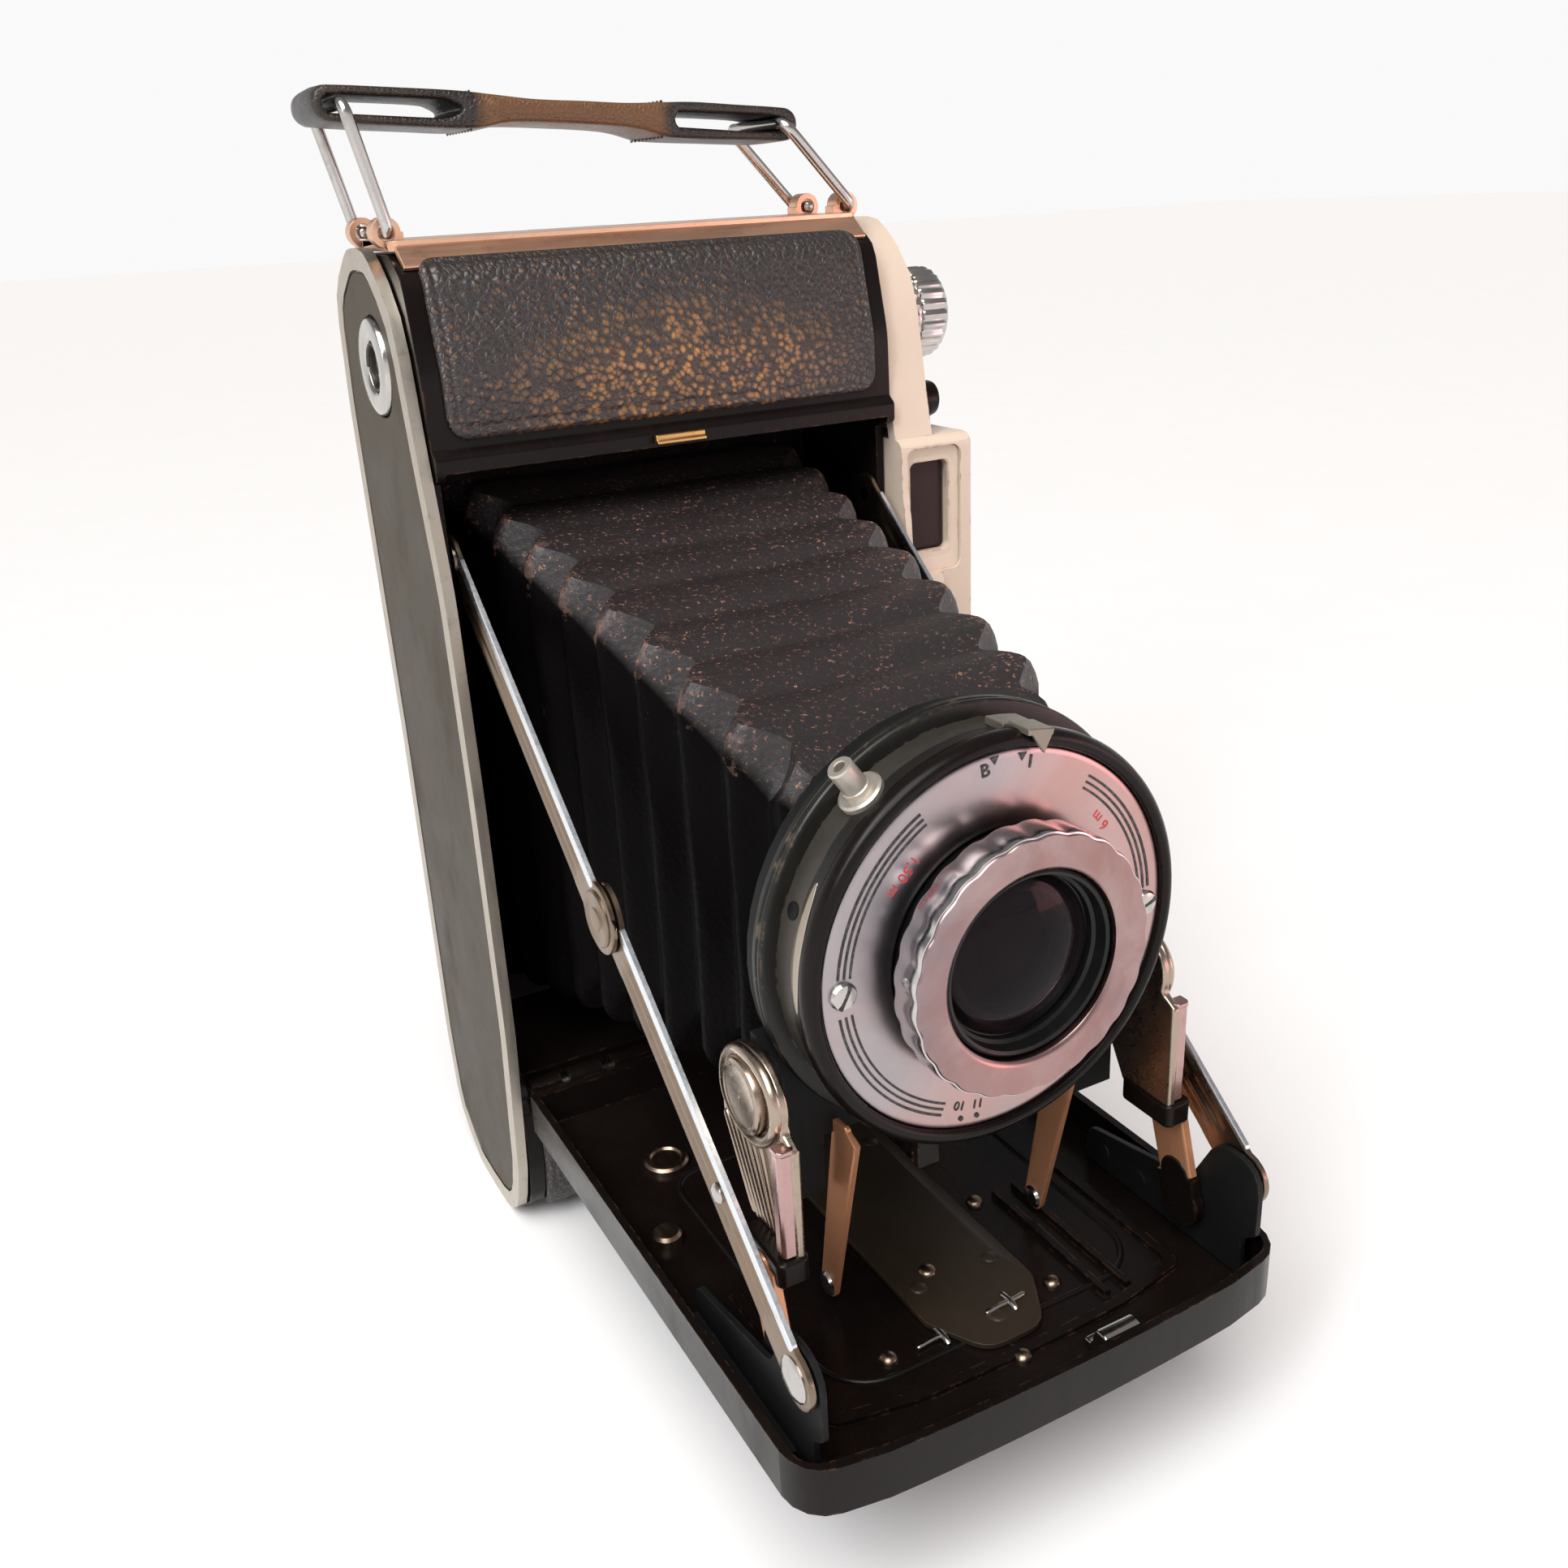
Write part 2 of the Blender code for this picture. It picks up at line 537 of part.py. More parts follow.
def build_bed_plates():
    """Riveted plates inside the bed's sides, which carry the legs and the braces."""
    for name, side in (("bed_side_plate_left", -1), ("bed_side_plate_right", 1)):
        low, high = sorted((side * 33.3, side * 34.2))
        plate = prism(name, fillet([
            (-92.4, 26.0, 0), (-60.0, 26.0, 0), (-60.0, 31.5, 2.0), (-82.0, 35.8, 3.0),
            (-86.8, 44.8, 3.9), (-94.8, 44.8, 3.9), (-94.8, 34.0, 1.0), (-92.4, 32.4, 0),
        ]), "X", low, high)
        inner, outer = sorted((side * 31.4, side * 34.0))
        join(plate, rod("leg_pin", "X", LEG_FOOT, 1.25, inner, outer, 16))
        inner, outer = sorted((side * 34.0, side * 35.4))
        join(plate, rod("brace_pin", "X", BRACE_BED, 1.3, inner, outer, 16))
        inner, outer = sorted((side * 34.0, side * 36.1))
        join(plate, box("base", (inner, outer), (-88.0, -60.0), (26.0, 27.0)))
        for y in (-64.0, -72.0, -79.0):
            inner, outer = sorted((side * 33.1, side * 34.0))
            join(plate, rod("rivet", "X", (y, 29.2), 1.2, inner, outer, 12))


def strip_between(start, end, width, start_r, end_r):
    """Outline of a flat link with round ends, as (a, b) points."""
    a, b = Vector(start), Vector(end)
    along = (b - a).normalized()
    side = Vector((-along.y, along.x)) * width / 2
    outline = []
    for centre, radius, way in ((a, start_r, -1), (b, end_r, 1)):
        spread = math.asin(min(1.0, width / 2 / radius))
        base = math.atan2(along.y * way, along.x * way)
        turn = math.pi - spread
        for k in range(13):
            t = base - turn + 2 * turn * k / 12
            outline.append((centre.x + radius * math.cos(t), centre.y + radius * math.sin(t)))
    return outline


def build_braces():
    knee = tuple((a + b) / 2 for a, b in zip(BRACE_BODY, BRACE_BED))
    for suffix, side in (("left", -1), ("right", 1)):
        low, high = sorted((side * 35.6, side * 36.5))
        upper = prism("brace_upper_" + suffix, strip_between(BRACE_BODY, knee, 6.6, 3.5, 5.0), "X", low, high)
        cut(upper, rod("eye", "X", BRACE_BODY, 1.6, -60, 60, 16))
        low, high = sorted((side * 34.5, side * 35.4))
        lower = prism("brace_lower_" + suffix, strip_between(BRACE_BED, knee, 6.6, 3.9, 5.0), "X", low, high)
        cut(lower, rod("eye", "X", BRACE_BED, 1.6, -60, 60, 16))


def build_foot():
    foot = box("stand_foot", (-9.2, 9.2), (-62.8, -61.2), (0.8, FOOT_PIN[1]))
    join(foot, rod("barrel", "X", FOOT_PIN, 1.9, -9.2, 9.2, 16))
    join(foot, rod("pin", "X", FOOT_PIN, 1.0, -12.4, 12.4, 16))
    join(foot, rounded_box("pad", "Z", (-9.2, 9.2), (-66.0, -61.2), (0.0, 1.4), 1.0))


# ---- front standard -----------------------------------------------------------------
def build_legs():
    arm = strip_between(LEG_FOOT, (-77.6, 44.5), 7.0, 3.6, 3.6)
    plate = [
        (-82.2, 44.0, 0.8), (-73.4, 44.0, 0.8), (-71.8, 52.0, 3.0), (-64.2, 62.0, 3.0),
        (-64.2, 70.5, 4.0), (-69.0, 73.0, 4.0), (-77.0, 71.0, 4.0), (-82.2, 64.5, 2.0),
    ]
    for name, side in (("leg_left", -1), ("leg_right", 1)):
        low, high = sorted((side * 31.6, side * 33.0))
        leg = prism(name, arm, "X", low, high)
        low, high = sorted((side * 28.2, side * 29.8))
        face = prism("face", fillet(plate), "X", low, high)
        for k in range(6):
            y = -80.6 + 1.5 * k
            inner, outer = sorted((side * 29.4, side * 30.5))
            join(face, box("rib", (inner, outer), (y, y + 0.8), (46.5, 60.0 - k * 0.9)))
        low, high = sorted((side * 28.4, side * 31.6))
        join(face, rounded_box("flange", "Y", (low, high), (47.0, 63.0), (-82.2, -80.9), 1.4))
        low, high = sorted((side * 29.4, side * 31.2))
        disc = rod("disc", "X", LEG_HEAD, 6.2, low, high, 32)
        low, high = sorted((side * 30.6, side * 34.0))
        cut(disc, rod("well", "X", LEG_HEAD, 4.6, low, high, 32))
        join(face, disc)
        low, high = sorted((side * 28.2, side * 33.0))
        join(face, box("collar", (low, high), (-82.4, -72.6), (41.6, 45.2)))
        join(leg, face)
        cut(leg, rod("foot_eye", "X", LEG_FOOT, 1.55, *sorted((side * 31.0, side * 34.0)), 16))
        cut(leg, rod("head_eye", "X", LEG_HEAD, 1.75, *sorted((side * 27.0, side * 30.2)), 16))
    for name, side in (("strut_left", -1), ("strut_right", 1)):
        low, high = sorted((side * 16.9, side * 18.0))
        strut = prism(name, strip_between(STRUT_FOOT, STRUT_HEAD, 4.2, 2.5, 2.4), "X", low, high)
        low, high = sorted((side * 16.2, side * 18.7))
        join(strut, rod("rivet", "X", STRUT_FOOT, 1.3, low, high, 16))


def build_board():
    board = rod("lens_board", "Y", (0, LENS_Z), BOARD_R, *BOARD_Y, 48)
    join(board, box("skirt", (-26.0, 26.0), BOARD_Y, (56.5, LENS_Z)))
    for side in (-1, 1):
        wing = sorted((side * 19.2, side * 27.8))
        join(board, box("wing", wing, BOARD_Y, (48.0, 74.0)))
    cut(board, rod("hole", "Y", (0, LENS_Z), 15.2, -100, 0, 40))
    for side in (-1, 1):
        low, high = sorted((side * 26.2, side * 27.6))
        ear = prism("ear", fillet([
            (-74.6, 59.0, 2.0), (-66.2, 59.0, 2.0), (-66.2, 72.0, 3.0), (-74.6, 70.5, 3.0),
        ]), "X", low, high)
        low, high = sorted((side * 24.0, side * 26.9))
        join(ear, box("bridge", (low, high), BOARD_Y, (62.0, 70.0)))
        low, high = sorted((side * 27.0, side * 29.8))
        join(ear, rod("pin", "X", LEG_HEAD, 1.4, low, high, 16))
        join(board, ear)


def build_shutter():
    centre = (0.0, LENS_Z)
    lathe("shutter_case", [
        (15.0, -71.2), (FLANGE_R - 0.5, -71.2), (FLANGE_R, -71.7), (FLANGE_R, -73.2),
        (FLANGE_R - 0.5, -73.7), (CASE_R, -73.9), (CASE_R, -80.0), (15.0, -80.0),
    ], "Y", centre, 36)
    lathe("shutter_bezel", [
        (FACE_R + 0.3, -80.3), (26.9, -80.3), (26.9, -82.0), (26.2, -82.7), (FACE_R + 0.9, -82.7),
        (FACE_R + 0.3, -82.2),
    ], "Y", centre, 36)
    plate = tube("face_plate", "Y", centre, (15.3, FACE_R), -82.0, -80.3, 40)
    for x in (-21.4, 21.4):
        screw = rod("screw", "Y", (x, LENS_Z - 0.6), 1.7, -82.8, -81.0, 16)
        cut(screw, box("slot", (x - 3, x + 3), (-84, -82.4), (LENS_Z - 0.9, LENS_Z - 0.3)))
        join(plate, screw)
    arc = []
    for r, steps in ((26.5, range(0, 7)), (27.6, range(6, -1, -1))):
        for k in steps:
            t = math.radians(74 + 13 * k / 6)
            arc.append((r * math.cos(t), LENS_Z + r * math.sin(t)))
    lever = prism("speed_lever", arc, "Y", -79.9, -75.0)
    t = math.radians(78)
    tip = [(24.2 * math.cos(t), LENS_Z + 24.2 * math.sin(t))]
    for angle in (86.5, 74.5):
        t = math.radians(angle)
        tip.append((27.5 * math.cos(t), LENS_Z + 27.5 * math.sin(t)))
    join(lever, prism("pointer", tip, "Y", -83.9, -83.0))
    hood = []
    for r, angles in ((27.0, (75, 81, 87)), (27.6, (87, 81, 75))):
        for angle in angles:
            t = math.radians(angle)
            hood.append((r * math.cos(t), LENS_Z + r * math.sin(t)))
    join(lever, prism("hood", hood, "Y", -83.9, -79.0))
    blade = []
    for r, angles in ((26.5, (246, 250, 254, 258)), (27.4, (258, 254, 250, 246))):
        for angle in angles:
            t = math.radians(angle)
            blade.append((r * math.cos(t), LENS_Z + r * math.sin(t)))
    aperture = prism("aperture_lever", blade, "Y", -80.0, -74.6)
    t = math.radians(252)
    spot = (29.2 * math.cos(t), LENS_Z + 29.2 * math.sin(t))
    join(aperture, box("tab", (spot[0] - 1.6, spot[0] + 1.6), (-79.6, -78.4), (spot[1] - 2.2, spot[1] + 2.2)))
    t = math.radians(125.7)
    foot = Vector((26.5 * math.cos(t), -77.2, LENS_Z + 26.5 * math.sin(t)))
    out = Vector((math.cos(t), 0, math.sin(t)))
    socket = lathe("cable_socket", [
        (0, 0), (3.0, 0), (3.0, 0.9), (2.1, 1.2), (2.1, 5.0), (1.3, 5.0), (1.3, 2.0), (0, 2.0),
    ], "Z", (0, 0), 20)
    turn = out.to_track_quat("Z", "Y").to_matrix().to_4x4()
    socket.data.transform(Matrix.Translation(foot * MM) @ turn)
    lathe("lens_tube", [
        (8.4, -67.0), (13.0, -67.0), (13.0, -70.0), (14.6, -70.3), (14.6, -83.8), (11.8, -83.8),
        (11.8, -87.9), (10.8, -87.9), (10.6, -84.6), (8.4, -84.6),
    ], "Y", centre, 36)
    ring = fluted("focus_ring", "Y", centre, RING_R, 0.7, 22, -89.2, -84.2, 0.7)
    cut(ring, rod("bore", "Y", centre, 12.2, -100, -80, 36))
    lathe("front_glass", [
        (0, -84.9), (10.2, -84.9), (10.2, -85.6), (7.4, -86.9), (4.0, -87.5), (0, -87.7),
    ], "Y", centre, 36)
    lathe("rear_glass", [
        (0, -67.4), (5.0, -67.8), (8.1, -69.2), (8.1, -70.4), (0, -70.4),
    ], "Y", centre, 32)
    rod("shutter_blades", "Y", centre, 8.1, -78.6, -77.8, 32)


def build_bellows():
    """Pleated tube from the film gate to the lens board, with folded corners."""
    rear = (27.9, 31.6, 47.4, LENS_Z)
    front = (-69.0, 22.4, 23.6, LENS_Z)
    pleats = 9
    bm = bmesh.new()
    sides = []
    for shell in (0.0, 0.9):
        rings = []
        for k in range(2 * pleats + 1):
            t = k / (2 * pleats)
            y = rear[0] + (front[0] - rear[0]) * t
            half_x = rear[1] + (front[1] - rear[1]) * t - shell
            half_z = rear[2] + (front[2] - rear[2]) * t - shell
            deep = 2.9 if k % 2 else 0.0
            if k == 2 * pleats:
                deep = 2.4
            half_x -= deep
            half_z -= deep
            corner = 4.6 - (1.6 if k % 2 else 0.0)
            ring = []
            for sx, sz in ((1, 1), (-1, 1), (-1, -1), (1, -1)):
                pair = [(half_x, half_z - corner), (half_x - corner, half_z)]
                if sx * sz < 0:
                    pair.reverse()
                ring += [bm.verts.new((sx * x, y, LENS_Z + sz * z)) for x, z in pair]
            rings.append(ring)
        sides.append(rings)
    for rings in sides:
        for first, second in zip(rings, rings[1:]):
            for i in range(8):
                j = (i + 1) % 8
                bm.faces.new((first[i], first[j], second[j], second[i]))
    for end in (0, -1):
        outer, inner = sides[0][end], sides[1][end]
        for i in range(8):
            j = (i + 1) % 8
            bm.faces.new((outer[i], outer[j], inner[j], inner[i]))
    make("bellows", bm)


def main():
    clear_scene()
    build_body()
    build_covers()
    build_top()
    build_coverings()
    build_winding()
    build_handle()
    build_back()
    build_bed()
    build_bed_plates()
    build_braces()
    build_foot()
    build_legs()
    build_board()
    build_shutter()
    build_bellows()
    for obj in bpy.data.objects:
        obj.data.transform(Matrix.Translation((0, -ORIGIN_Y * MM, 0)))


main()
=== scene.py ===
"""Looks of a folding roll-film camera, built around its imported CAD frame.

Lengths are millimetres in the camera's own layout: X right, Y from the lens to the back,
Z up. P() turns a point into the frame's metres, whose origin lies 20 mm further back.
"""
import json
import math

import bmesh
import bpy
from mathutils import Matrix, Vector, noise


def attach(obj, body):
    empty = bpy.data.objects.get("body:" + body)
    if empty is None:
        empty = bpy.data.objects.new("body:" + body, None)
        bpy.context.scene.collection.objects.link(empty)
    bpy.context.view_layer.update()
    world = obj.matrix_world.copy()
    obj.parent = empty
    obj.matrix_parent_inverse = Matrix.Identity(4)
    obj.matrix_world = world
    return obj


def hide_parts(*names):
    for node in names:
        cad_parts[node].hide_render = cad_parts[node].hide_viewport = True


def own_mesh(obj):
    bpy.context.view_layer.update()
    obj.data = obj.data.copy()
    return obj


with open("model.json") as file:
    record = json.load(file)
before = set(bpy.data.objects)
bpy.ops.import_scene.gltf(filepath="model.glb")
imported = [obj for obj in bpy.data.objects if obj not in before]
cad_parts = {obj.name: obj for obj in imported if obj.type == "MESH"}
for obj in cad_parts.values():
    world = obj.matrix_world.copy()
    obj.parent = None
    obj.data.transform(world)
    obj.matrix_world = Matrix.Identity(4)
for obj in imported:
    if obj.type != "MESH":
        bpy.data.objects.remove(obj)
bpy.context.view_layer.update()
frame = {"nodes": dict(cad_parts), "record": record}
NODES = frame["nodes"]

MM = 0.001
ORIGIN_Y = 20.0
LENS_Z = 83.2
LENS = (0.0, LENS_Z)
SIDES = (("left", -1), ("right", 1))
TARNISH = (0.42, 0.26, 0.14)
BODY_OF = {n: b for b, ns in frame["record"]["behaviour"]["bodies"].items() for n in ns}


def P(x, y, z):
    return Vector((x, y - ORIGIN_Y, z)) * MM


# ---- materials ----------------------------------------------------------------------
class Shade:
    """A node material under construction: add() makes a node and wires its inputs."""

    def __init__(self, name):
        self.mat = bpy.data.materials.new(name)
        self.mat.use_nodes = True
        self.tree = self.mat.node_tree
        self.bsdf = self.tree.nodes["Principled BSDF"]
        coords = self.add("TexCoord")
        self.where = coords.outputs["Object"]

    def add(self, kind, **settings):
        made = self.tree.nodes.new("ShaderNode" + kind)
        for key, value in settings.items():
            setattr(made, key, value)
        return made

    def wire(self, target, value):
        if isinstance(value, bpy.types.NodeSocket):
            self.tree.links.new(value, target)
        elif isinstance(value, tuple) and len(value) == 3 and target.type == "RGBA":
            target.default_value = (*value, 1)
        else:
            target.default_value = value

    def noise(self, scale, detail=4, rough=0.55, where=None, distort=0.0):
        made = self.add("TexNoise")
        self.wire(made.inputs["Vector"], where or self.where)
        made.inputs["Scale"].default_value = scale
        made.inputs["Detail"].default_value = detail
        made.inputs["Roughness"].default_value = rough
        made.inputs["Distortion"].default_value = distort
        return made.outputs["Fac"]

    def cells(self, scale, feature, where=None, smooth=0.3):
        made = self.add("TexVoronoi", feature=feature)
        self.wire(made.inputs["Vector"], where or self.where)
        made.inputs["Scale"].default_value = scale
        if feature == "SMOOTH_F1":
            made.inputs["Smoothness"].default_value = smooth
        return made.outputs["Distance"]

    def stretched(self, x, y, z, turn=(0, 0, 0)):
        made = self.add("Mapping")
        self.wire(made.inputs["Vector"], self.where)
        made.inputs["Scale"].default_value = (x, y, z)
        made.inputs["Rotation"].default_value = turn
        return made.outputs["Vector"]

    def ramp(self, value, low, high, to_low=0.0, to_high=1.0):
        made = self.add("MapRange")
        for key, number in (("Value", value), ("From Min", low), ("From Max", high),
                            ("To Min", to_low), ("To Max", to_high)):
            self.wire(made.inputs[key], number)
        return made.outputs["Result"]

    def maths(self, operation, a, b=0.0):
        made = self.add("Math", operation=operation)
        self.wire(made.inputs[0], a)
        self.wire(made.inputs[1], b)
        return made.outputs[0]

    def mix(self, factor, a, b):
        made = self.add("Mix", data_type="RGBA")
        self.wire(made.inputs[0], factor)
        self.wire(made.inputs[6], a)
        self.wire(made.inputs[7], b)
        return made.outputs[2]

    def attribute(self, name):
        return self.add("Attribute", attribute_name=name).outputs["Fac"]

    def edge(self, radius):
        """Near one on outer and inner edges, from how far a rounded normal turns away."""
        bevel = self.add("Bevel", samples=4)
        bevel.inputs["Radius"].default_value = radius * MM
        plain = self.add("NewGeometry")
        dot = self.add("VectorMath", operation="DOT_PRODUCT")
        self.wire(dot.inputs[0], bevel.outputs["Normal"])
        self.wire(dot.inputs[1], plain.outputs["Normal"])
        return self.ramp(dot.outputs["Value"], 0.99, 0.82)

    def bumps(self, *layers):
        """Bump layers as (height, depth in mm), stacked onto the shader's normal."""
        last = None
        for height, depth in layers:
            made = self.add("Bump")
            made.inputs["Distance"].default_value = depth * MM
            made.inputs["Strength"].default_value = 1.0
            self.wire(made.inputs["Height"], height)
            if last:
                self.wire(made.inputs["Normal"], last)
            last = made.outputs["Normal"]
        self.wire(self.bsdf.inputs["Normal"], last)

    def set(self, **values):
        for key, value in values.items():
            self.wire(self.bsdf.inputs[key.replace("_", " ")], value)
        return self


def enamel(name, base, worn, rough, speck=0.35, gloss=0.3):
    """Stove enamel: slight orange peel, fine scratches, dust and paint worn off the edges."""
    s = Shade(name)
    peel = s.noise(420, 2)
    scratch = s.noise(900, 3, where=s.stretched(1, 0.08, 0.05))
    dust = s.noise(60, 6, 0.7)
    chips = s.maths("MULTIPLY", s.edge(0.5), s.ramp(s.noise(350, 5, 0.7), 0.52, 0.6))
    blotch = s.mix(s.ramp(dust, 0.35, 0.75, 0, speck), base, tuple(c * 1.8 + 0.003 for c in base))
    s.set(Base_Color=s.mix(chips, blotch, worn),
          Roughness=s.maths("ADD", s.ramp(dust, 0.3, 0.8, rough, rough + 0.16),
                            s.ramp(scratch, 0.55, 0.75, 0, 0.12)),
          Metallic=s.maths("MULTIPLY", chips, 0.7), Specular_IOR_Level=gloss)
    s.bumps((peel, 0.02), (scratch, 0.006), (dust, 0.015))
    return s.mat


def plated(name, base, rough, grain=(1, 1, 1), depth=0.006, tarnish=0.25, metal=1.0):
    """Plated metal: directional polish marks, smears that dull it, and tarnish in patches."""
    s = Shade(name)
    fine = s.noise(1500, 3, where=s.stretched(*grain))
    smear = s.noise(90, 5, 0.65, distort=0.6)
    spots = s.ramp(s.noise(260, 6, 0.75), 0.56, 0.7)
    colour = s.mix(s.ramp(smear, 0.35, 0.75, 0, tarnish), base, TARNISH)
    colour = s.mix(s.maths("MULTIPLY", spots, 0.35), colour, tuple(c * 0.35 for c in base))
    s.set(Base_Color=colour, Metallic=metal,
          Roughness=s.maths("ADD", s.ramp(smear, 0.3, 0.8, rough, rough + 0.14),
                            s.ramp(fine, 0.4, 0.7, 0, 0.07)))
    s.bumps((fine, depth), (smear, 0.008))
    return s.mat


def leather(name, base, light, pebble, depth, rough, wear, worn, painted_sheen=None):
    """Embossed covering: round pebbles with creases between, pores, and rubbed high spots.

    The last argument is an oval (x, z, half width, half height) where the colour and the pebble tops are
    turned golden: a painted reflection of warm light.
    """
    s = Shade(name)
    wobble = s.add("VectorMath", operation="MULTIPLY_ADD")
    drift = s.add("TexNoise")
    s.wire(drift.inputs["Vector"], s.where)
    drift.inputs["Scale"].default_value = pebble * 0.5
    s.wire(wobble.inputs[0], drift.outputs["Color"])
    wobble.inputs[1].default_value = (0.7 * MM,) * 3
    s.wire(wobble.inputs[2], s.where)
    spot = wobble.outputs[0]
    lumps = s.cells(pebble, "SMOOTH_F1", spot, smooth=0.35)
    crease = s.cells(pebble, "DISTANCE_TO_EDGE", spot)
    dome = s.ramp(lumps, 0.0, 0.75, 1, 0)
    groove = s.ramp(crease, 0.0, 0.14)
    patch = s.noise(45, 5, 0.6)
    rub = s.maths("MULTIPLY", s.ramp(dome, 0.55, 0.95), s.ramp(patch, 0.42, 0.62, 0, wear))
    colour = s.mix(groove, tuple(c * 0.35 for c in base), s.mix(patch, base, light))
    # Painted reflection: inside the oval the colour turns golden and the pebble tops light up, standing
    # in for warm light caught on the leather.
    if painted_sheen:
        split = s.add("SeparateXYZ")
        s.wire(split.inputs[0], s.where)
        squares = []
        for axis, middle, half in (("X", painted_sheen[0], painted_sheen[2]), ("Z", painted_sheen[1], painted_sheen[3])):
            offset = s.maths("SUBTRACT", split.outputs[axis], middle * MM)
            share = s.maths("ABSOLUTE", s.maths("DIVIDE", offset, half * MM))
            squares.append(s.maths("POWER", share, 2.0))
        reach = s.maths("ADD", *squares)
        near = s.maths("MULTIPLY", s.ramp(reach, 0.1, 1.1, 1, 0),
                       s.ramp(s.noise(190, 5, 0.7), 0.36, 0.6, 0.25, 1))
        colour = s.mix(s.maths("MULTIPLY", near, 0.5), colour, (0.075, 0.034, 0.016))
        rub = s.maths("MAXIMUM", rub, s.maths("MULTIPLY", near, s.ramp(dome, 0.3, 0.75, 0.0, 0.95)))
    s.set(Base_Color=s.mix(rub, colour, worn),
          Roughness=s.ramp(groove, 0, 1, rough + 0.3, rough), Specular_IOR_Level=0.8)
    s.bumps((s.noise(2600, 3), 0.01), (groove, depth * 0.5), (dome, depth))
    return s.mat


def make_materials():
    """Every material, under the short name that the pieces use."""
    black = (0.0055, 0.0036, 0.003)
    return {
        "black": enamel("black_enamel", black, (0.12, 0.055, 0.03), 0.19, gloss=0.17),
        "plain": enamel("bed_enamel", (0.005, 0.0038, 0.0033), (0.006, 0.005, 0.0045), 0.24, gloss=0.22),
        "black_case": enamel("shutter_enamel", (0.0095, 0.009, 0.0075), (0.3, 0.22, 0.15), 0.27),
        "cream": enamel("cream_enamel", (0.62, 0.50, 0.40), (0.30, 0.22, 0.14), 0.38, 0.1, 0.4),
        "panel": enamel("panel_enamel", (0.046, 0.035, 0.0225), (0.3, 0.26, 0.2), 0.36, 0.25, 0.1),
        "bronze": enamel("bronze_plate", (0.021, 0.0145, 0.009), (0.12, 0.08, 0.05), 0.34),
        "steel": plated("dark_steel", (0.10, 0.095, 0.088), 0.34, depth=0.004, tarnish=0.05),
        "dull": enamel("matt_black", (0.005, 0.005, 0.005), (0.05, 0.045, 0.04), 0.5, gloss=0.2),
        "chrome": plated("chrome", (0.56, 0.54, 0.52), 0.12, depth=0.003, tarnish=0.12),
        # Painted reflection: bright plating tinted copper for the leg arms and props, standing in for
        # warm light they reflect.
        "copper_tinted_reflection": plated("plating_painted_copper", (0.74, 0.34, 0.18), 0.26, depth=0.0015, tarnish=0.15,
                         metal=0.6),
        "pinkish": plated("rose_plating", (0.52, 0.34, 0.33), 0.2, (1, 1, 0.15), 0.004, 0.15),
        "leg": plated("leg_plating", (0.43, 0.35, 0.28), 0.2, depth=0.0, tarnish=0.12),
        "rim": plated("rim_metal", (0.50, 0.455, 0.39), 0.3, (1, 1, 0.1), tarnish=0.12),
        "nickel": plated("nickel", (0.25, 0.19, 0.145), 0.22, (1, 0.12, 0.1)),
        # Near-white metal for the painted highlight strips on the braces.
        "bright": plated("painted_highlight_metal", (0.84, 0.88, 0.92), 0.2, depth=0.002, tarnish=0.06),
        "silver": plated("satin_silver", (0.62, 0.57, 0.5), 0.34, depth=0.003, tarnish=0.15, metal=0.8),
        "pointer": plated("pointer_metal", (0.27, 0.245, 0.2), 0.34, depth=0.002, tarnish=0.1,
                          metal=0.8),
        "barrel": plated("barrel_metal", (0.085, 0.077, 0.066), 0.34, depth=0.002, tarnish=0.05,
                         metal=0.7),
        # Painted reflection: the aluminium top band is coloured salmon-copper to stand in for the warm
        # light it reflects.
        "band": plated("top_band_painted_copper", (0.84, 0.50, 0.34), 0.24, (0.05, 1, 1), tarnish=0.3, metal=0.95),
        "brass": plated("brass", (0.72, 0.42, 0.16), 0.24, (1, 1, 0.2)),
        "pebble": leather("leather", (0.014, 0.0098, 0.0085), (0.028, 0.019, 0.0155), 950, 0.12, 0.36,
                          0.75, (0.32, 0.14, 0.05)),
        # The front covering carries a painted golden reflection low in its middle.
        "pebble_front": leather("front_leather", (0.016, 0.0105, 0.009), (0.030, 0.020, 0.016), 950,
                                0.09, 0.38, 0.6, (0.46, 0.20, 0.05), painted_sheen=(2.0, 142.5, 30.0, 12.5)),
        "strap": strap_leather(),
        "bellows": bellows_cloth(),
        "glass": glass("lens_glass", (0.34, 0.25, 0.29), 0.02),
        # Painted shade: the finder glass is opaque dark enamel, standing in for the dark of the finder
        # tunnel behind it.
        "window": enamel("finder_glass", (0.030, 0.018, 0.017), (0.03, 0.02, 0.02), 0.12, 0.3, 0.12),
        "red_glass": glass("red_glass", (0.5, 0.02, 0.02), 0.08),
        "ink": flat_ink("engraving", (0.012, 0.012, 0.012)),
        "red_ink": flat_ink("red_engraving", (0.55, 0.035, 0.045)),
        "ring_face": turned("ring_face", (0.27, 0.215, 0.225), 0.22),
        "ring_side": plated("ring_side", (0.60, 0.58, 0.59), 0.09, depth=0.002, tarnish=0.1),
        "plate": turned("plate_face", (0.40, 0.36, 0.375), 0.28),
        "arc": turned("barrel_wear", (0.44, 0.38, 0.30), 0.34),
        "inner": enamel("lens_black", (0.004, 0.004, 0.004), (0.04, 0.03, 0.03), 0.24),
    }


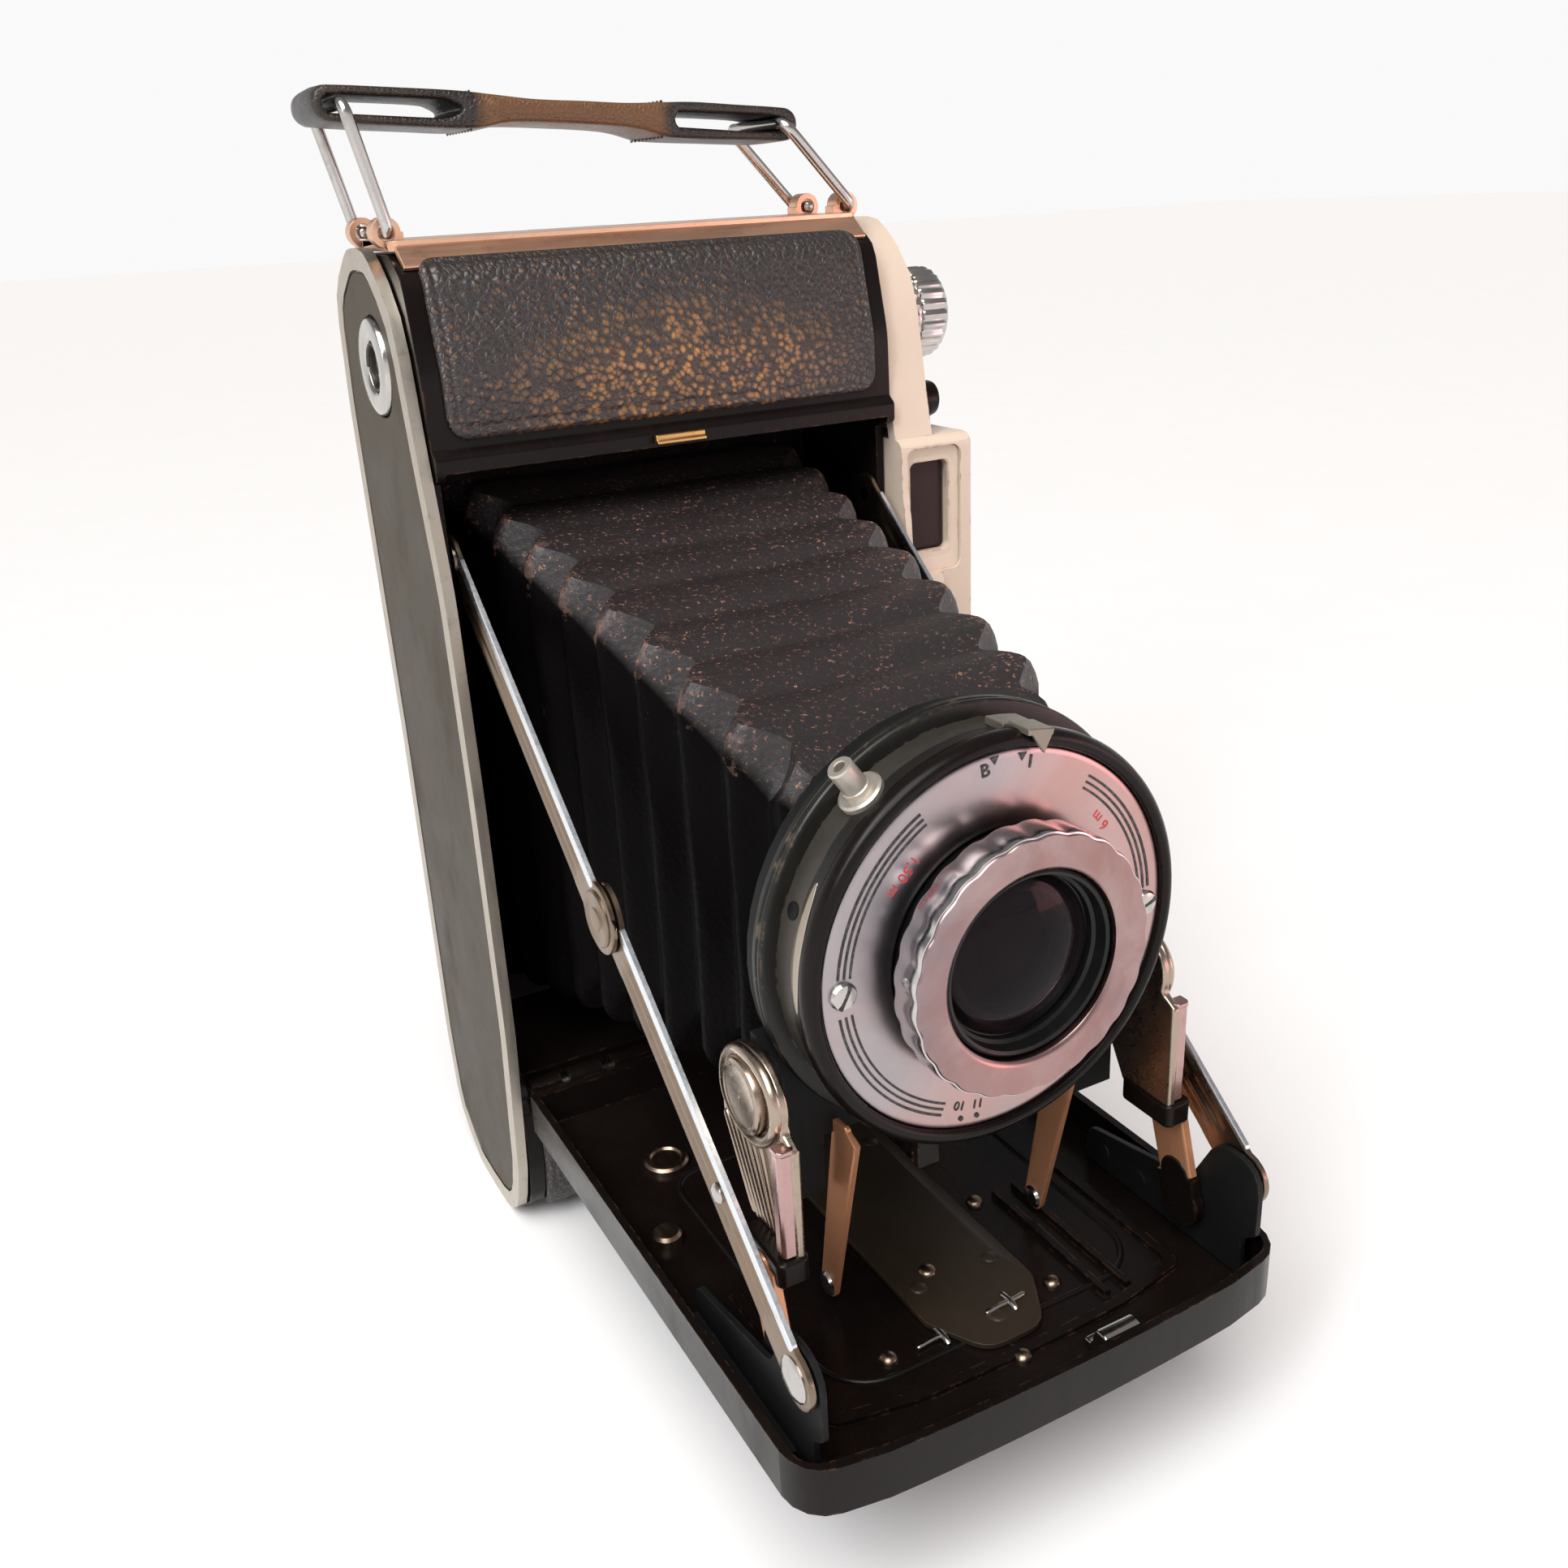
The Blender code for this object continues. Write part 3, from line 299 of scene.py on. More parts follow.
def turned(name, base, rough):
    """Lathe-turned metal: fine rings round the lens axis, light smears."""
    s = Shade(name)
    split = s.add("SeparateXYZ")
    s.wire(split.inputs[0], s.where)
    up = s.maths("SUBTRACT", split.outputs["Z"], LENS_Z * MM)
    square = s.maths("ADD", s.maths("MULTIPLY", split.outputs["X"], split.outputs["X"]),
                     s.maths("MULTIPLY", up, up))
    join = s.add("CombineXYZ")
    s.wire(join.inputs["X"], s.maths("SQRT", square))
    rings = s.noise(5200, 3, 0.7, where=join.outputs[0])
    wash = s.ramp(s.noise(30, 3, 0.5), 0.42, 0.60)
    base = s.mix(wash, base, (base[0] * 1.3, base[1] * 0.92, base[2] * 0.82))
    smear = s.noise(75, 5, 0.6, distort=0.8)
    specks = s.ramp(s.noise(900, 4, 0.8), 0.66, 0.74)
    colour = s.mix(s.ramp(smear, 0.38, 0.66, 0, 0.3), base, (0.62, 0.55, 0.55))
    s.set(Base_Color=s.mix(s.maths("MULTIPLY", specks, 0.4), colour, (0.2, 0.15, 0.12)),
          Metallic=1.0, Roughness=s.ramp(smear, 0.3, 0.75, rough, rough + 0.12),
          Anisotropic=0.35)
    s.bumps((rings, 0.006), (smear, 0.004))
    return s.mat


def flat_ink(name, base):
    """Paint in engraved lines and letters, rough and a little worn."""
    s = Shade(name)
    grit = s.noise(1800, 4, 0.7)
    s.set(Base_Color=s.mix(s.ramp(grit, 0.45, 0.75, 0, 0.4), base, (0.3, 0.27, 0.25)),
          Roughness=s.ramp(grit, 0.3, 0.7, 0.4, 0.7))
    s.bumps((grit, 0.01))
    return s.mat


def glass(name, tint, rough):
    """Coated glass with a faint haze; it hardly bends what is seen through it."""
    s = Shade(name)
    haze = s.noise(70, 5, 0.6)
    s.set(Base_Color=s.mix(s.ramp(haze, 0.4, 0.8, 0, 0.2), tint, tuple(c * 0.8 for c in tint)),
          Transmission_Weight=1.0, IOR=1.2, Roughness=s.ramp(haze, 0.4, 0.8, 0.0, rough),
          Specular_IOR_Level=0.5)
    s.bumps((haze, 0.002))
    return s.mat


def strap_leather():
    """Dark strap leather, rubbed brown and gold along its top and edges."""
    s = Shade("strap_leather")
    grain = s.cells(1500, "DISTANCE_TO_EDGE")
    pores = s.noise(2400, 4, 0.7)
    patch = s.noise(70, 5, 0.65)
    rub = s.maths("MAXIMUM", s.maths("MULTIPLY", s.edge(0.9), s.ramp(patch, 0.3, 0.6)),
                  s.ramp(s.noise(130, 6, 0.75), 0.6, 0.78, 0, 0.6))
    band = s.attribute("wear")
    dark = s.mix(patch, (0.007, 0.0055, 0.005), (0.016, 0.011, 0.008))
    brown = s.mix(patch, (0.085, 0.034, 0.012), (0.17, 0.075, 0.025))
    tan = s.ramp(s.maths("ADD", band, s.maths("MULTIPLY", patch, 0.5)), 0.55, 1.0)
    colour = s.mix(tan, dark, brown)
    gold = s.maths("MULTIPLY", rub, s.ramp(band, 0, 1, 0.25, 0.9))
    s.set(Base_Color=s.mix(gold, colour, (0.42, 0.21, 0.075)),
          Roughness=s.ramp(patch, 0.3, 0.7, 0.28, 0.45), Specular_IOR_Level=0.6)
    s.bumps((s.ramp(grain, 0, 0.2), 0.05), (pores, 0.03))
    return s.mat


def bellows_cloth():
    """Fine-grained leatherette over cloth, with folds rubbed through to a coppery brown. The top panels
    are painted lighter than the shaded sides, with painted coppery glints on them.
    """
    s = Shade("bellows_cloth")
    grain = s.cells(1150, "SMOOTH_F1", smooth=0.4)
    cracks = s.cells(1100, "DISTANCE_TO_EDGE")
    patch = s.noise(55, 5, 0.65)
    fine = s.noise(1300, 5, 0.75)
    worn, top = s.attribute("wear"), s.attribute("top")
    specks = s.ramp(s.maths("ADD", fine, s.maths("MULTIPLY", worn, 0.03)), 0.598, 0.65)
    patches = s.ramp(patch, 0.36, 0.58, 0.35, 1.0)
    # Painted glints: coppery flecks only on the top panels, where the light falls.
    top_glints = s.maths("MULTIPLY", specks, s.maths("MULTIPLY", top, patches))
    bare = s.ramp(s.maths("ADD", s.noise(420, 5, 0.7), s.maths("MULTIPLY", worn, 0.24)), 0.70, 0.80)
    # Painted shade: the sides get a near-black colour and the top panels a lighter grey-brown, as if lit
    # from above.
    side = s.mix(patch, (0.0014, 0.0011, 0.0011), (0.0028, 0.0021, 0.002))
    colour = s.mix(top, side, s.mix(patch, (0.0150, 0.0118, 0.0125), (0.0270, 0.0200, 0.0200)))
    colour = s.mix(top_glints, colour, (0.36, 0.17, 0.11))
    s.set(Base_Color=s.mix(s.maths("MULTIPLY", bare, 0.6), colour, (0.12, 0.07, 0.055)),
          Roughness=s.ramp(fine, 0.3, 0.8, 0.34, 0.58),
          Specular_IOR_Level=s.ramp(top, 0, 1, 0.03, 0.45))
    s.bumps((grain, 0.06), (s.ramp(cracks, 0, 0.1), 0.012), (patch, 0.1), (fine, 0.03))
    return s.mat


# ---- mesh helpers -------------------------------------------------------------------
def finish_piece(obj, material, body, replaces=(), slot=None, bevel=0.0, angle=35, segments=2):
    """Material, shading, soft edges, and what the piece rides on and stands for."""
    mesh = obj.data
    mesh.materials.clear()
    mesh.materials.append(MAT[material])
    mesh.shade_smooth()
    mesh.set_sharp_from_angle(angle=math.radians(angle))
    if bevel:
        mod = obj.modifiers.new("soft_edges", "BEVEL")
        mod.width = bevel * MM
        mod.segments = segments
        mod.limit_method = "ANGLE"
        mod.angle_limit = math.radians(angle)
        mod.harden_normals = True
        mod.use_clamp_overlap = True
    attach(obj, body)
    if replaces:
        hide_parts(*replaces)
    return obj


def from_bmesh(name, bm, material, body, scale=True, **options):
    bmesh.ops.remove_doubles(bm, verts=bm.verts, dist=1e-6)
    bmesh.ops.recalc_face_normals(bm, faces=bm.faces)
    if scale:
        bm.transform(Matrix.Scale(MM, 4) @ Matrix.Translation((0, -ORIGIN_Y, 0)))
    mesh = bpy.data.meshes.new(name)
    bm.to_mesh(mesh)
    bm.free()
    obj = bpy.data.objects.new(name, mesh)
    bpy.context.scene.collection.objects.link(obj)
    return finish_piece(obj, material, body, **options)


def refined(node, material, bevel, slot, segments=2):
    """A CAD node's own shape with clean faces and soft edges, standing for the node."""
    bm = bmesh.new()
    bm.from_mesh(NODES[node].data)
    bmesh.ops.remove_doubles(bm, verts=bm.verts, dist=2e-6)
    bmesh.ops.dissolve_limit(bm, angle_limit=math.radians(0.6), verts=bm.verts, edges=bm.edges)
    from_bmesh(node + "_looks", bm, material, BODY_OF[node], scale=False, replaces=(node,), slot=slot,
               bevel=bevel, angle=32, segments=segments)


def refined_all(*rows):
    for row in rows:
        refined(*row)


def placed(axis, a, b, along):
    """The (x, y, z) of a point (a, b) in a plane across an axis, at a distance along it."""
    if axis == "X":
        return (along, a, b)
    return (a, along, b) if axis == "Y" else (a, b, along)


def bridge(bm, rings, closed=False, wrap=True):
    """Faces between neighbouring rings of points; closed joins the last ring to the first too."""
    for first, second in zip(rings, rings[1:] + rings[:1] if closed else rings[1:]):
        for k in range(len(first) if wrap else len(first) - 1):
            n = (k + 1) % len(first)
            bm.faces.new((first[k], first[n], second[n], second[k]))


def fillet(corners, step=12.0):
    """A closed outline from (a, b, radius) corners, each corner rounded by its radius."""
    outline = []
    for i, (a, b, r) in enumerate(corners):
        here = Vector((a, b))
        before = (Vector(corners[i - 1][:2]) - here).normalized()
        after = (Vector(corners[(i + 1) % len(corners)][:2]) - here).normalized()
        angle = before.angle(after)
        if r <= 0 or angle > math.pi - 0.02:
            outline.append((a, b))
            continue
        middle = here + (before + after).normalized() * (r / math.sin(angle / 2))
        start = here + before * (r / math.tan(angle / 2)) - middle
        sweep = math.pi - angle
        turn = 1 if start.cross(here + after * (r / math.tan(angle / 2)) - middle) > 0 else -1
        pieces = max(2, round(math.degrees(sweep) / step))
        for k in range(pieces + 1):
            t = turn * sweep * k / pieces
            outline.append((middle.x + start.x * math.cos(t) - start.y * math.sin(t),
                            middle.y + start.x * math.sin(t) + start.y * math.cos(t)))
    return outline


def add_prism(bm, outline, axis, low, high):
    near = [bm.verts.new(placed(axis, a, b, low)) for a, b in outline]
    far = [bm.verts.new(placed(axis, a, b, high)) for a, b in outline]
    bm.faces.new(near)
    bm.faces.new(far[::-1])
    for i in range(len(outline)):
        j = (i + 1) % len(outline)
        bm.faces.new((near[j], near[i], far[i], far[j]))


def add_lathe(bm, profile, axis, centre, steps, radial=None):
    """A closed (radius, along) profile turned about an axis; radial(angle, r) reshapes it."""
    rings = []
    for r, along in profile:
        if r < 1e-6:
            rings.append([bm.verts.new(placed(axis, *centre, along))])
            continue
        ring = []
        for k in range(steps):
            t = 2 * math.pi * k / steps
            rr = radial(t, r) if radial else r
            ring.append(bm.verts.new(placed(axis, centre[0] + rr * math.cos(t),
                                            centre[1] + rr * math.sin(t), along)))
        rings.append(ring)
    for first, second in zip(rings, rings[1:] + rings[:1]):
        if len(first) == 1 and len(second) == 1:
            continue
        for k in range(steps):
            n = (k + 1) % steps
            corners = [first[k % len(first)], first[n % len(first)],
                       second[n % len(second)], second[k % len(second)]]
            bm.faces.new(list(dict.fromkeys(corners)))


def lathe(name, profile, axis, centre, material, body, steps=72, radial=None, **options):
    bm = bmesh.new()
    add_lathe(bm, profile, axis, centre, steps, radial)
    from_bmesh(name, bm, material, body, **options)


def standing(base, way, points):
    """A lathe profile whose heights count from a base, towards one side."""
    return [(r, base + way * h) for r, h in points]


def prisms(name, shapes, material, body, **options):
    """A piece made of (outline, axis, low, high) prisms."""
    bm = bmesh.new()
    for shape in shapes:
        add_prism(bm, *shape)
    from_bmesh(name, bm, material, body, **options)


def add_tube(bm, path, radius, steps):
    """A round wire along a path of points, with a rounded cap at each end."""
    points = [Vector(p) for p in path]
    rings, side = [], None
    for i, point in enumerate(points):
        back = points[max(i - 1, 0)]
        ahead = points[min(i + 1, len(points) - 1)]
        along = (ahead - back).normalized()
        side = side or along.orthogonal().normalized()
        side = (side - along * side.dot(along)).normalized()
        other = along.cross(side)
        spin = [side * math.cos(2 * math.pi * k / steps) + other * math.sin(2 * math.pi * k / steps)
                for k in range(steps)]
        stops = [(0.0, 1.0)]
        if i == 0:
            stops = [(-0.9, 0.35), (-0.6, 0.8)] + stops
        if i == len(points) - 1:
            stops = stops + [(0.6, 0.8), (0.9, 0.35)]
        for shift, size in stops:
            middle = point + along * shift * radius
            rings.append([bm.verts.new(middle + v * radius * size) for v in spin])
    bridge(bm, rings)
    bm.faces.new(rings[0][::-1])
    bm.faces.new(rings[-1])


def wires(name, paths, material, body, **options):
    """A piece made of (path, radius, steps) wires."""
    bm = bmesh.new()
    for path in paths:
        add_tube(bm, *path)
    from_bmesh(name, bm, material, body, **options)


def curved(points, pieces):
    """Catmull-Rom curve through points."""
    pts = [Vector(p) for p in points]
    pts = [2 * pts[0] - pts[1]] + pts + [2 * pts[-1] - pts[-2]]
    out = []
    for a, b, c, d in zip(pts, pts[1:], pts[2:], pts[3:]):
        for k in range(pieces):
            t = k / pieces
            out.append(0.5 * ((2 * b) + (c - a) * t + (2 * a - 5 * b + 4 * c - d) * t * t
                              + (3 * b - a - 3 * c + d) * t ** 3))
    return out + [pts[-2]]


def polar(radius, degrees):
    """The (x, z) of a point at an angle round the lens axis."""
    turn = math.radians(degrees)
    return (radius * math.cos(turn), LENS_Z + radius * math.sin(turn))


def arc_points(radius, start, end, count):
    return [polar(radius, start + (end - start) * k / count) for k in range(count + 1)]


def add_sector(bm, inner, outer, start, end, y, count):
    outline = arc_points(inner, start, end, count) + arc_points(outer, end, start, count)
    add_prism(bm, outline, "Y", *y)


def rivets(name, places, base, top):
    """Domed rivet heads on the bed; base and top are heights."""
    bm = bmesh.new()
    rise = top - base
    for spot in places:
        add_lathe(bm, standing(base, rise, ((0, -0.6), (1.35, -0.6), (1.35, 0.15), (1.35 * 0.86, 0.6),
                                            (1.35 * 0.5, 0.92), (0, 1))), "Z", spot, 20)
    from_bmesh(name, bm, "nickel", "bed")


MAT = make_materials()


# ---- body, covers and finder --------------------------------------------------------
BODY_FRONT = fillet([(0.6, 130.0, 0), (0.6, 136.2, 0), (0.8, 146.0, 12.0), (4.4, 160.0, 5.0),
                     (10.0, 162.5, 4.0), (20.0, 162.5, 0)], 3.0)
BODY_FOOT = fillet([(0.6, 26.0, 0), (0.6, 14.0, 8.0), (2.6, 4.6, 6.0), (12.0, 0.0, 6.0),
                    (20.0, 0.0, 0)], 3.0)


def along_line(line, low, high, step):
    """Evenly spaced (y, z, out_y, out_z) along a side outline between two heights."""
    inside, fine, reach = [], 0.1, 6
    for (ya, za), (yb, zb) in zip(line, line[1:]):
        length = math.hypot(yb - ya, zb - za)
        for k in range(max(1, int(length / fine))):
            t = k * fine / max(length, 1e-6)
            y, z = ya + (yb - ya) * t, za + (zb - za) * t
            if low <= z <= high:
                inside.append((y, z))
    rows, last = [], None
    for i, (y, z) in enumerate(inside):
        if last is None or math.hypot(y - last[0], z - last[1]) >= step:
            a, b = inside[max(0, i - reach)], inside[min(len(inside) - 1, i + reach)]
            tangent = Vector((b[0] - a[0], b[1] - a[1])).normalized()
            out = Vector((-tangent.y, tangent.x))
            if out.x > 0:
                out = -out
            rows.append((y, z, out.x, out.y))
            last = (y, z)
    return rows


def pebble_height(x, y, z, size):
    """Height in mm of the embossed grain at a point."""
    spot = Vector((x, y, z)) / size
    spot += Vector((noise.noise(spot * 0.7), noise.noise(spot * 0.7 + Vector((9, 4, 2))), 0)) * 0.5
    near = noise.voronoi(spot)[0]
    return min(0.5, near[1] - near[0]) * 2


def leather_panel(name, line, low, high, node, step, material):
    """Covering with pebbled grain, a pressed border line and turned-down edges."""
    half, corner, pebble = 35.6, 3.0, 1.15      # half width, corner radius, size of a pebble
    rim, border, border_width = 0.7, 1.6, 0.35  # rounded edge and pressed line, from the outline
    rows = along_line(line, low, high, step)
    columns = round(2 * half / step)
    span = [-half + 2 * half * k / columns for k in range(columns + 1)]
    bm = bmesh.new()
    layers = []
    last = len(rows) - 1
    for shell in (0, 1):
        grid = []
        for i, (y, z, oy, oz) in enumerate(rows):
            row = []
            for x in span:
                cx, cv = half - abs(x), min(i, last - i) * step
                gap = min(cx, cv)
                if cx < corner and cv < corner:
                    gap = corner - math.hypot(corner - cx, corner - cv)
                lift = 0.25
                if shell:
                    edge = max(0.0, min(1.0, gap / rim))
                    press = math.exp(-((gap - border) / border_width) ** 2) * 0.22
                    grain = pebble_height(x, y, z, pebble) * 0.17 if gap > 1.9 else 0.05
                    lift = 0.3 + 0.66 * math.sqrt(edge) - press + grain * edge
                row.append(bm.verts.new((x, y + oy * lift, z + oz * lift)) if gap > -0.05 else None)
            grid.append(row)
        layers.append(grid)
    filled = {}
    for shell, grid in enumerate(layers):
        for i in range(last):
            for j in range(columns):
                quad = [grid[i][j], grid[i][j + 1], grid[i + 1][j + 1], grid[i + 1][j]]
                if None not in quad:
                    bm.faces.new(quad if shell else quad[::-1])
                    filled[(i, j)] = True
    for (i, j) in filled:
        for (di, dj), (a, b) in (((-1, 0), ((0, 0), (0, 1))), ((1, 0), ((1, 1), (1, 0))),
                                 ((0, -1), ((1, 0), (0, 0))), ((0, 1), ((0, 1), (1, 1)))):
            if (i + di, j + dj) not in filled:
                p, q = (i + a[0], j + a[1]), (i + b[0], j + b[1])
                bm.faces.new((layers[0][p[0]][p[1]], layers[0][q[0]][q[1]],
                              layers[1][q[0]][q[1]], layers[1][p[0]][p[1]]))
    from_bmesh(name, bm, material, "camera_body", replaces=(node,), slot="leather", angle=60)


def build_body():
    on = "camera_body"
    refined("body_shell", "black", 0.35, "black_enamel")
    leather_panel("top_covering", BODY_FRONT, 137.2, 161.4, "leather_top_panel", 0.26, "pebble_front")
    leather_panel("foot_covering", BODY_FOOT, 2.6, 23.6, "leather_bottom_panel", 0.5, "pebble")
    refined_all(("left_side_cover", "rim", 0.7, "cream_enamel", 3),
                ("left_side_panel", "panel", 0.25, "panel_enamel"),
                ("right_housing", "cream", 0.6, "cream_enamel", 3),
                ("top_plate", "band", 0.2, "aluminium"))
    # The top plate and this lip take the band colour, aluminium painted salmon-copper as a stand-in for
    # reflected warm light.
    lip = fillet([(5.0, 160.9, 0.3), (9.4, 164.3, 0.6), (12.0, 164.35, 0), (12.0, 163.4, 0),
                  (9.6, 163.2, 0), (5.6, 160.3, 0.2)], 10.0)
    prisms("top_band_lip", [(lip, "X", -37.4, 37.4)], "band", on, bevel=0.12, slot="aluminium")
    refined_all(("door_catch", "brass", 0.2, "brass"), ("finder_front_glass", "window", 0.2, "glass"),
                ("finder_eyepiece", "window", 0.2, "glass"), ("back_latch", "chrome", 0.3, "chrome"))
    bush = (17.0, 147.0)
    lathe("bush_ring", [
        (0, -38.7), (7.0, -38.7), (7.0, -40.5), (6.8, -40.9), (6.2, -41.2), (4.6, -41.2),
        (4.1, -41.0), (3.7, -40.6), (3.6, -39.3), (0, -39.3),
    ], "X", bush, "chrome", on, replaces=("tripod_bush",), slot="chrome", bevel=0.1)
    pitch, radius, per_turn, count = 0.3, 3.35, 16, 54
    thread = [(-40.7 + pitch * k / per_turn, bush[0] + radius * math.cos(math.tau * k / per_turn),
               bush[1] + radius * math.sin(math.tau * k / per_turn)) for k in range(count)]
    wires("bush_thread", [(thread, 0.25, 6)], "steel", on)
    # Frame round the finder's front window, a step behind its opening.
    outer, inner = (fillet([(x0, z0, r), (x1, z0, r), (x1, z1, r), (x0, z1, r)]) for x0, x1, z0, z1, r in
                    ((39.9, 50.3, 106.2, 127.3, 1.6), (41.0, 48.6, 109.8, 124.9, 1.2)))
    bm = bmesh.new()
    bridge(bm, [[bm.verts.new(placed("Y", u, v, y)) for u, v in line] for line, y in
                ((outer, -1.6), (inner, -1.0), (inner, -0.2), (outer, -1.1))], closed=True)
    from_bmesh("finder_frame", bm, "cream", on, slot="cream_enamel", angle=25)


def build_winding():
    """Winding knob, release button, spools, rollers and hinge pins."""
    ribs, rib_depth, plain_radius = 26, 0.42, 7.2

    def flutes(t, r):
        return r - (rib_depth * (0.5 - 0.5 * math.cos(ribs * t)) if r > plain_radius else 0)

    lathe("knob", [
        (0, 46.6), (5.2, 46.6), (5.2, 47.3), (7.0, 47.3), (7.6, 47.8), (7.7, 48.4), (7.7, 52.0),
        (7.5, 52.5), (7.0, 52.6), (7.0, 53.2), (7.5, 53.3), (7.7, 53.8), (7.7, 57.4), (7.5, 58.1),
        (6.8, 58.7), (6.0, 58.9), (5.7, 58.5), (0, 58.5),
    ], "X", (20.0, 147.0), "chrome", "winding_knob", steps=208, radial=flutes,
        replaces=("winding_knob",), slot="chrome", angle=28)
    lathe("button", [
        (0, 46.5), (1.4, 46.5), (1.4, 48.8), (3.0, 48.8), (3.05, 50.6), (2.8, 51.3), (2.0, 51.8),
        (0, 51.9),
    ], "X", (8.0, 133.8), "black", "release_button", 40, replaces=("release_button",),
        slot="black_enamel")
    for nodes, material, bevel, slot in (
            (("supply_spool", "take_up_spool", "pressure_plate"), "steel", 0.15, "dark_steel"),
            (("roller_bottom", "roller_top"), "nickel", 0.1, "chrome"),
            (("bed_hinge_pin", "back_hinge_pin"), "steel", 0.1, "dark_steel")):
        for node in nodes:
            refined(node, material, bevel, slot)


# ---- carrying handle ----------------------------------------------------------------
BARS = {"bail_left": (-1, (-41.5, 182.0)), "bail_right": (1, (25.9, 177.8))}


def build_handle():
    """Two bent wire bails, the same to both sides of the body's middle, and the strap."""
    middle = 19.0
    for node, (side, bar) in BARS.items():
        foot, head = Vector((side * 37.6, 165.4)), Vector(bar)
        half = [(foot.x + (head.x - foot.x) * share, y, foot.y + (head.y - foot.y) * share)
                for share, y in ((0, 14.2), (0, 12.4), (0, 10.6), (0.03, 9.8), (0.1, 9.5), (0.5, 9.5),
                                 (0.86, 9.5), (0.95, 9.8), (0.995, 10.8), (1, 12.4))]
        path = half + [(head.x, middle, head.y)] + [(x, 2 * middle - y, z) for x, y, z in half[::-1]]
        wires(node + "_wire", [(curved(path, 5), 0.88, 16)], "chrome", node, replaces=(node,),
              slot="chrome")
    build_strap()


def build_strap():
    """Leather strap: two flat loops round the bars, sewn where they meet the band."""
    start, end = Vector(BARS["bail_left"][1]), Vector(BARS["bail_right"][1])
    along = (end - start).normalized()
    up = Vector((-along.y, along.x))
    length = (end - start).length

    def spot(s, h):
        return start + along * s + up * h

    def closed(outline):
        points = [Vector((spot(s, h).x, 0, spot(s, h).y)) for s, h in outline]
        return curved([points[-1]] + points + [points[0], points[1]], 5)[5:-5]

    bm = bmesh.new()
    # One continuous leather: over the left bar, under, along the band, round the right bar.
    outside = closed([
        (-2.2, 2.1), (-3.35, 0.9), (-3.35, -0.9), (-2.2, -2.1), (0, -2.35), (9, -2.45), (17, -2.5),
        (20.5, -2.2), (24, -1.45), (28, -1.2), (35, -1.15), (42, -1.25), (45.5, -1.6), (49, -2.35),
        (53, -2.5), (60, -2.45), (length, -2.35), (length + 2.4, -2.1), (length + 3.4, -0.9),
        (length + 3.4, 0.9), (length + 2.3, 2.1), (length, 2.35), (60, 2.4), (53, 2.45), (48, 2.2),
        (42, 1.85), (35, 1.9), (28, 1.85), (22, 2.2), (17, 2.45), (9, 2.4), (0, 2.35),
    ])
    holes = [closed([(low, 0.0), (low + 0.5, 0.95), (low + 2, 1.15), (high - 4, 1.2), (high - 1.2, 0.8),
                     (high, 0.0), (high - 1.2, -0.75), (high - 4, -1.2), (low + 2, -1.15),
                     (low + 0.5, -0.95)]) for low, high in ((-2.0, 17.2), (50.2, length + 2.0))]
    band_layer = bm.verts.layers.float.new("wear")
    sections = [(11.7, 0.45), (11.9, 0.18), (12.4, 0.0), (14.0, -0.08), (19.0, -0.16), (24.0, -0.08),
                (25.6, 0.0), (26.1, 0.18), (26.3, 0.45)]

    def wall(points, sign):
        rings = []
        for y, inset in sections:
            ring = []
            for i, p in enumerate(points):
                tangent = (points[(i + 1) % len(points)] - points[i - 1]).normalized()
                inward = Vector((-tangent.z, 0, tangent.x)) * sign
                wave = 0.12 * noise.noise(Vector((p.x * 0.09, y * 0.12, p.z * 0.09)))
                depth = inset + wave
                vert = bm.verts.new((p.x + inward.x * depth, y, p.z + inward.z * depth))
                share = (Vector((p.x, p.z)) - start).dot(along)
                vert[band_layer] = max(0.0, min(1.0, (share - 17.0) / 5.0, (51.0 - share) / 5.0))
                ring.append(vert)
            rings.append(ring)
        bridge(bm, rings)
        return rings

    walls = [wall(outside, area_sign(outside))] + [wall(ring, -area_sign(ring)) for ring in holes]
    for end in (0, -1):
        loops = [bm.edges.get(pair) for rings in walls
                 for pair in zip(rings[end], rings[end][1:] + rings[end][:1])]
        bmesh.ops.triangle_fill(bm, use_beauty=True, use_dissolve=False, edges=loops)
    from_bmesh("strap", bm, "strap", "handle_strap", replaces=("handle_strap",), slot="strap_leather",
               angle=50)
    stitches = []
    for s in (18.9, 48.6):
        for y in [13.2 + 1.45 * k for k in range(9)]:
            for h in (2.45, -2.5):
                a, middle, b = spot(s - 0.1, h), spot(s, h), spot(s + 0.1, h)
                high = middle.y + math.copysign(0.1, h)
                path = [(a.x, y, a.y), (middle.x, y + 0.5, high), (b.x, y + 1.0, b.y)]
                stitches.append((path, 0.16, 6))
    wires("strap_stitches", stitches, "strap", "handle_strap")


def area_sign(points):
    """Which way round a closed outline runs in X and Z."""
    total = sum(p.x * q.z - q.x * p.z for p, q in zip(points, points[1:] + points[:1]))
    return 1 if total > 0 else -1


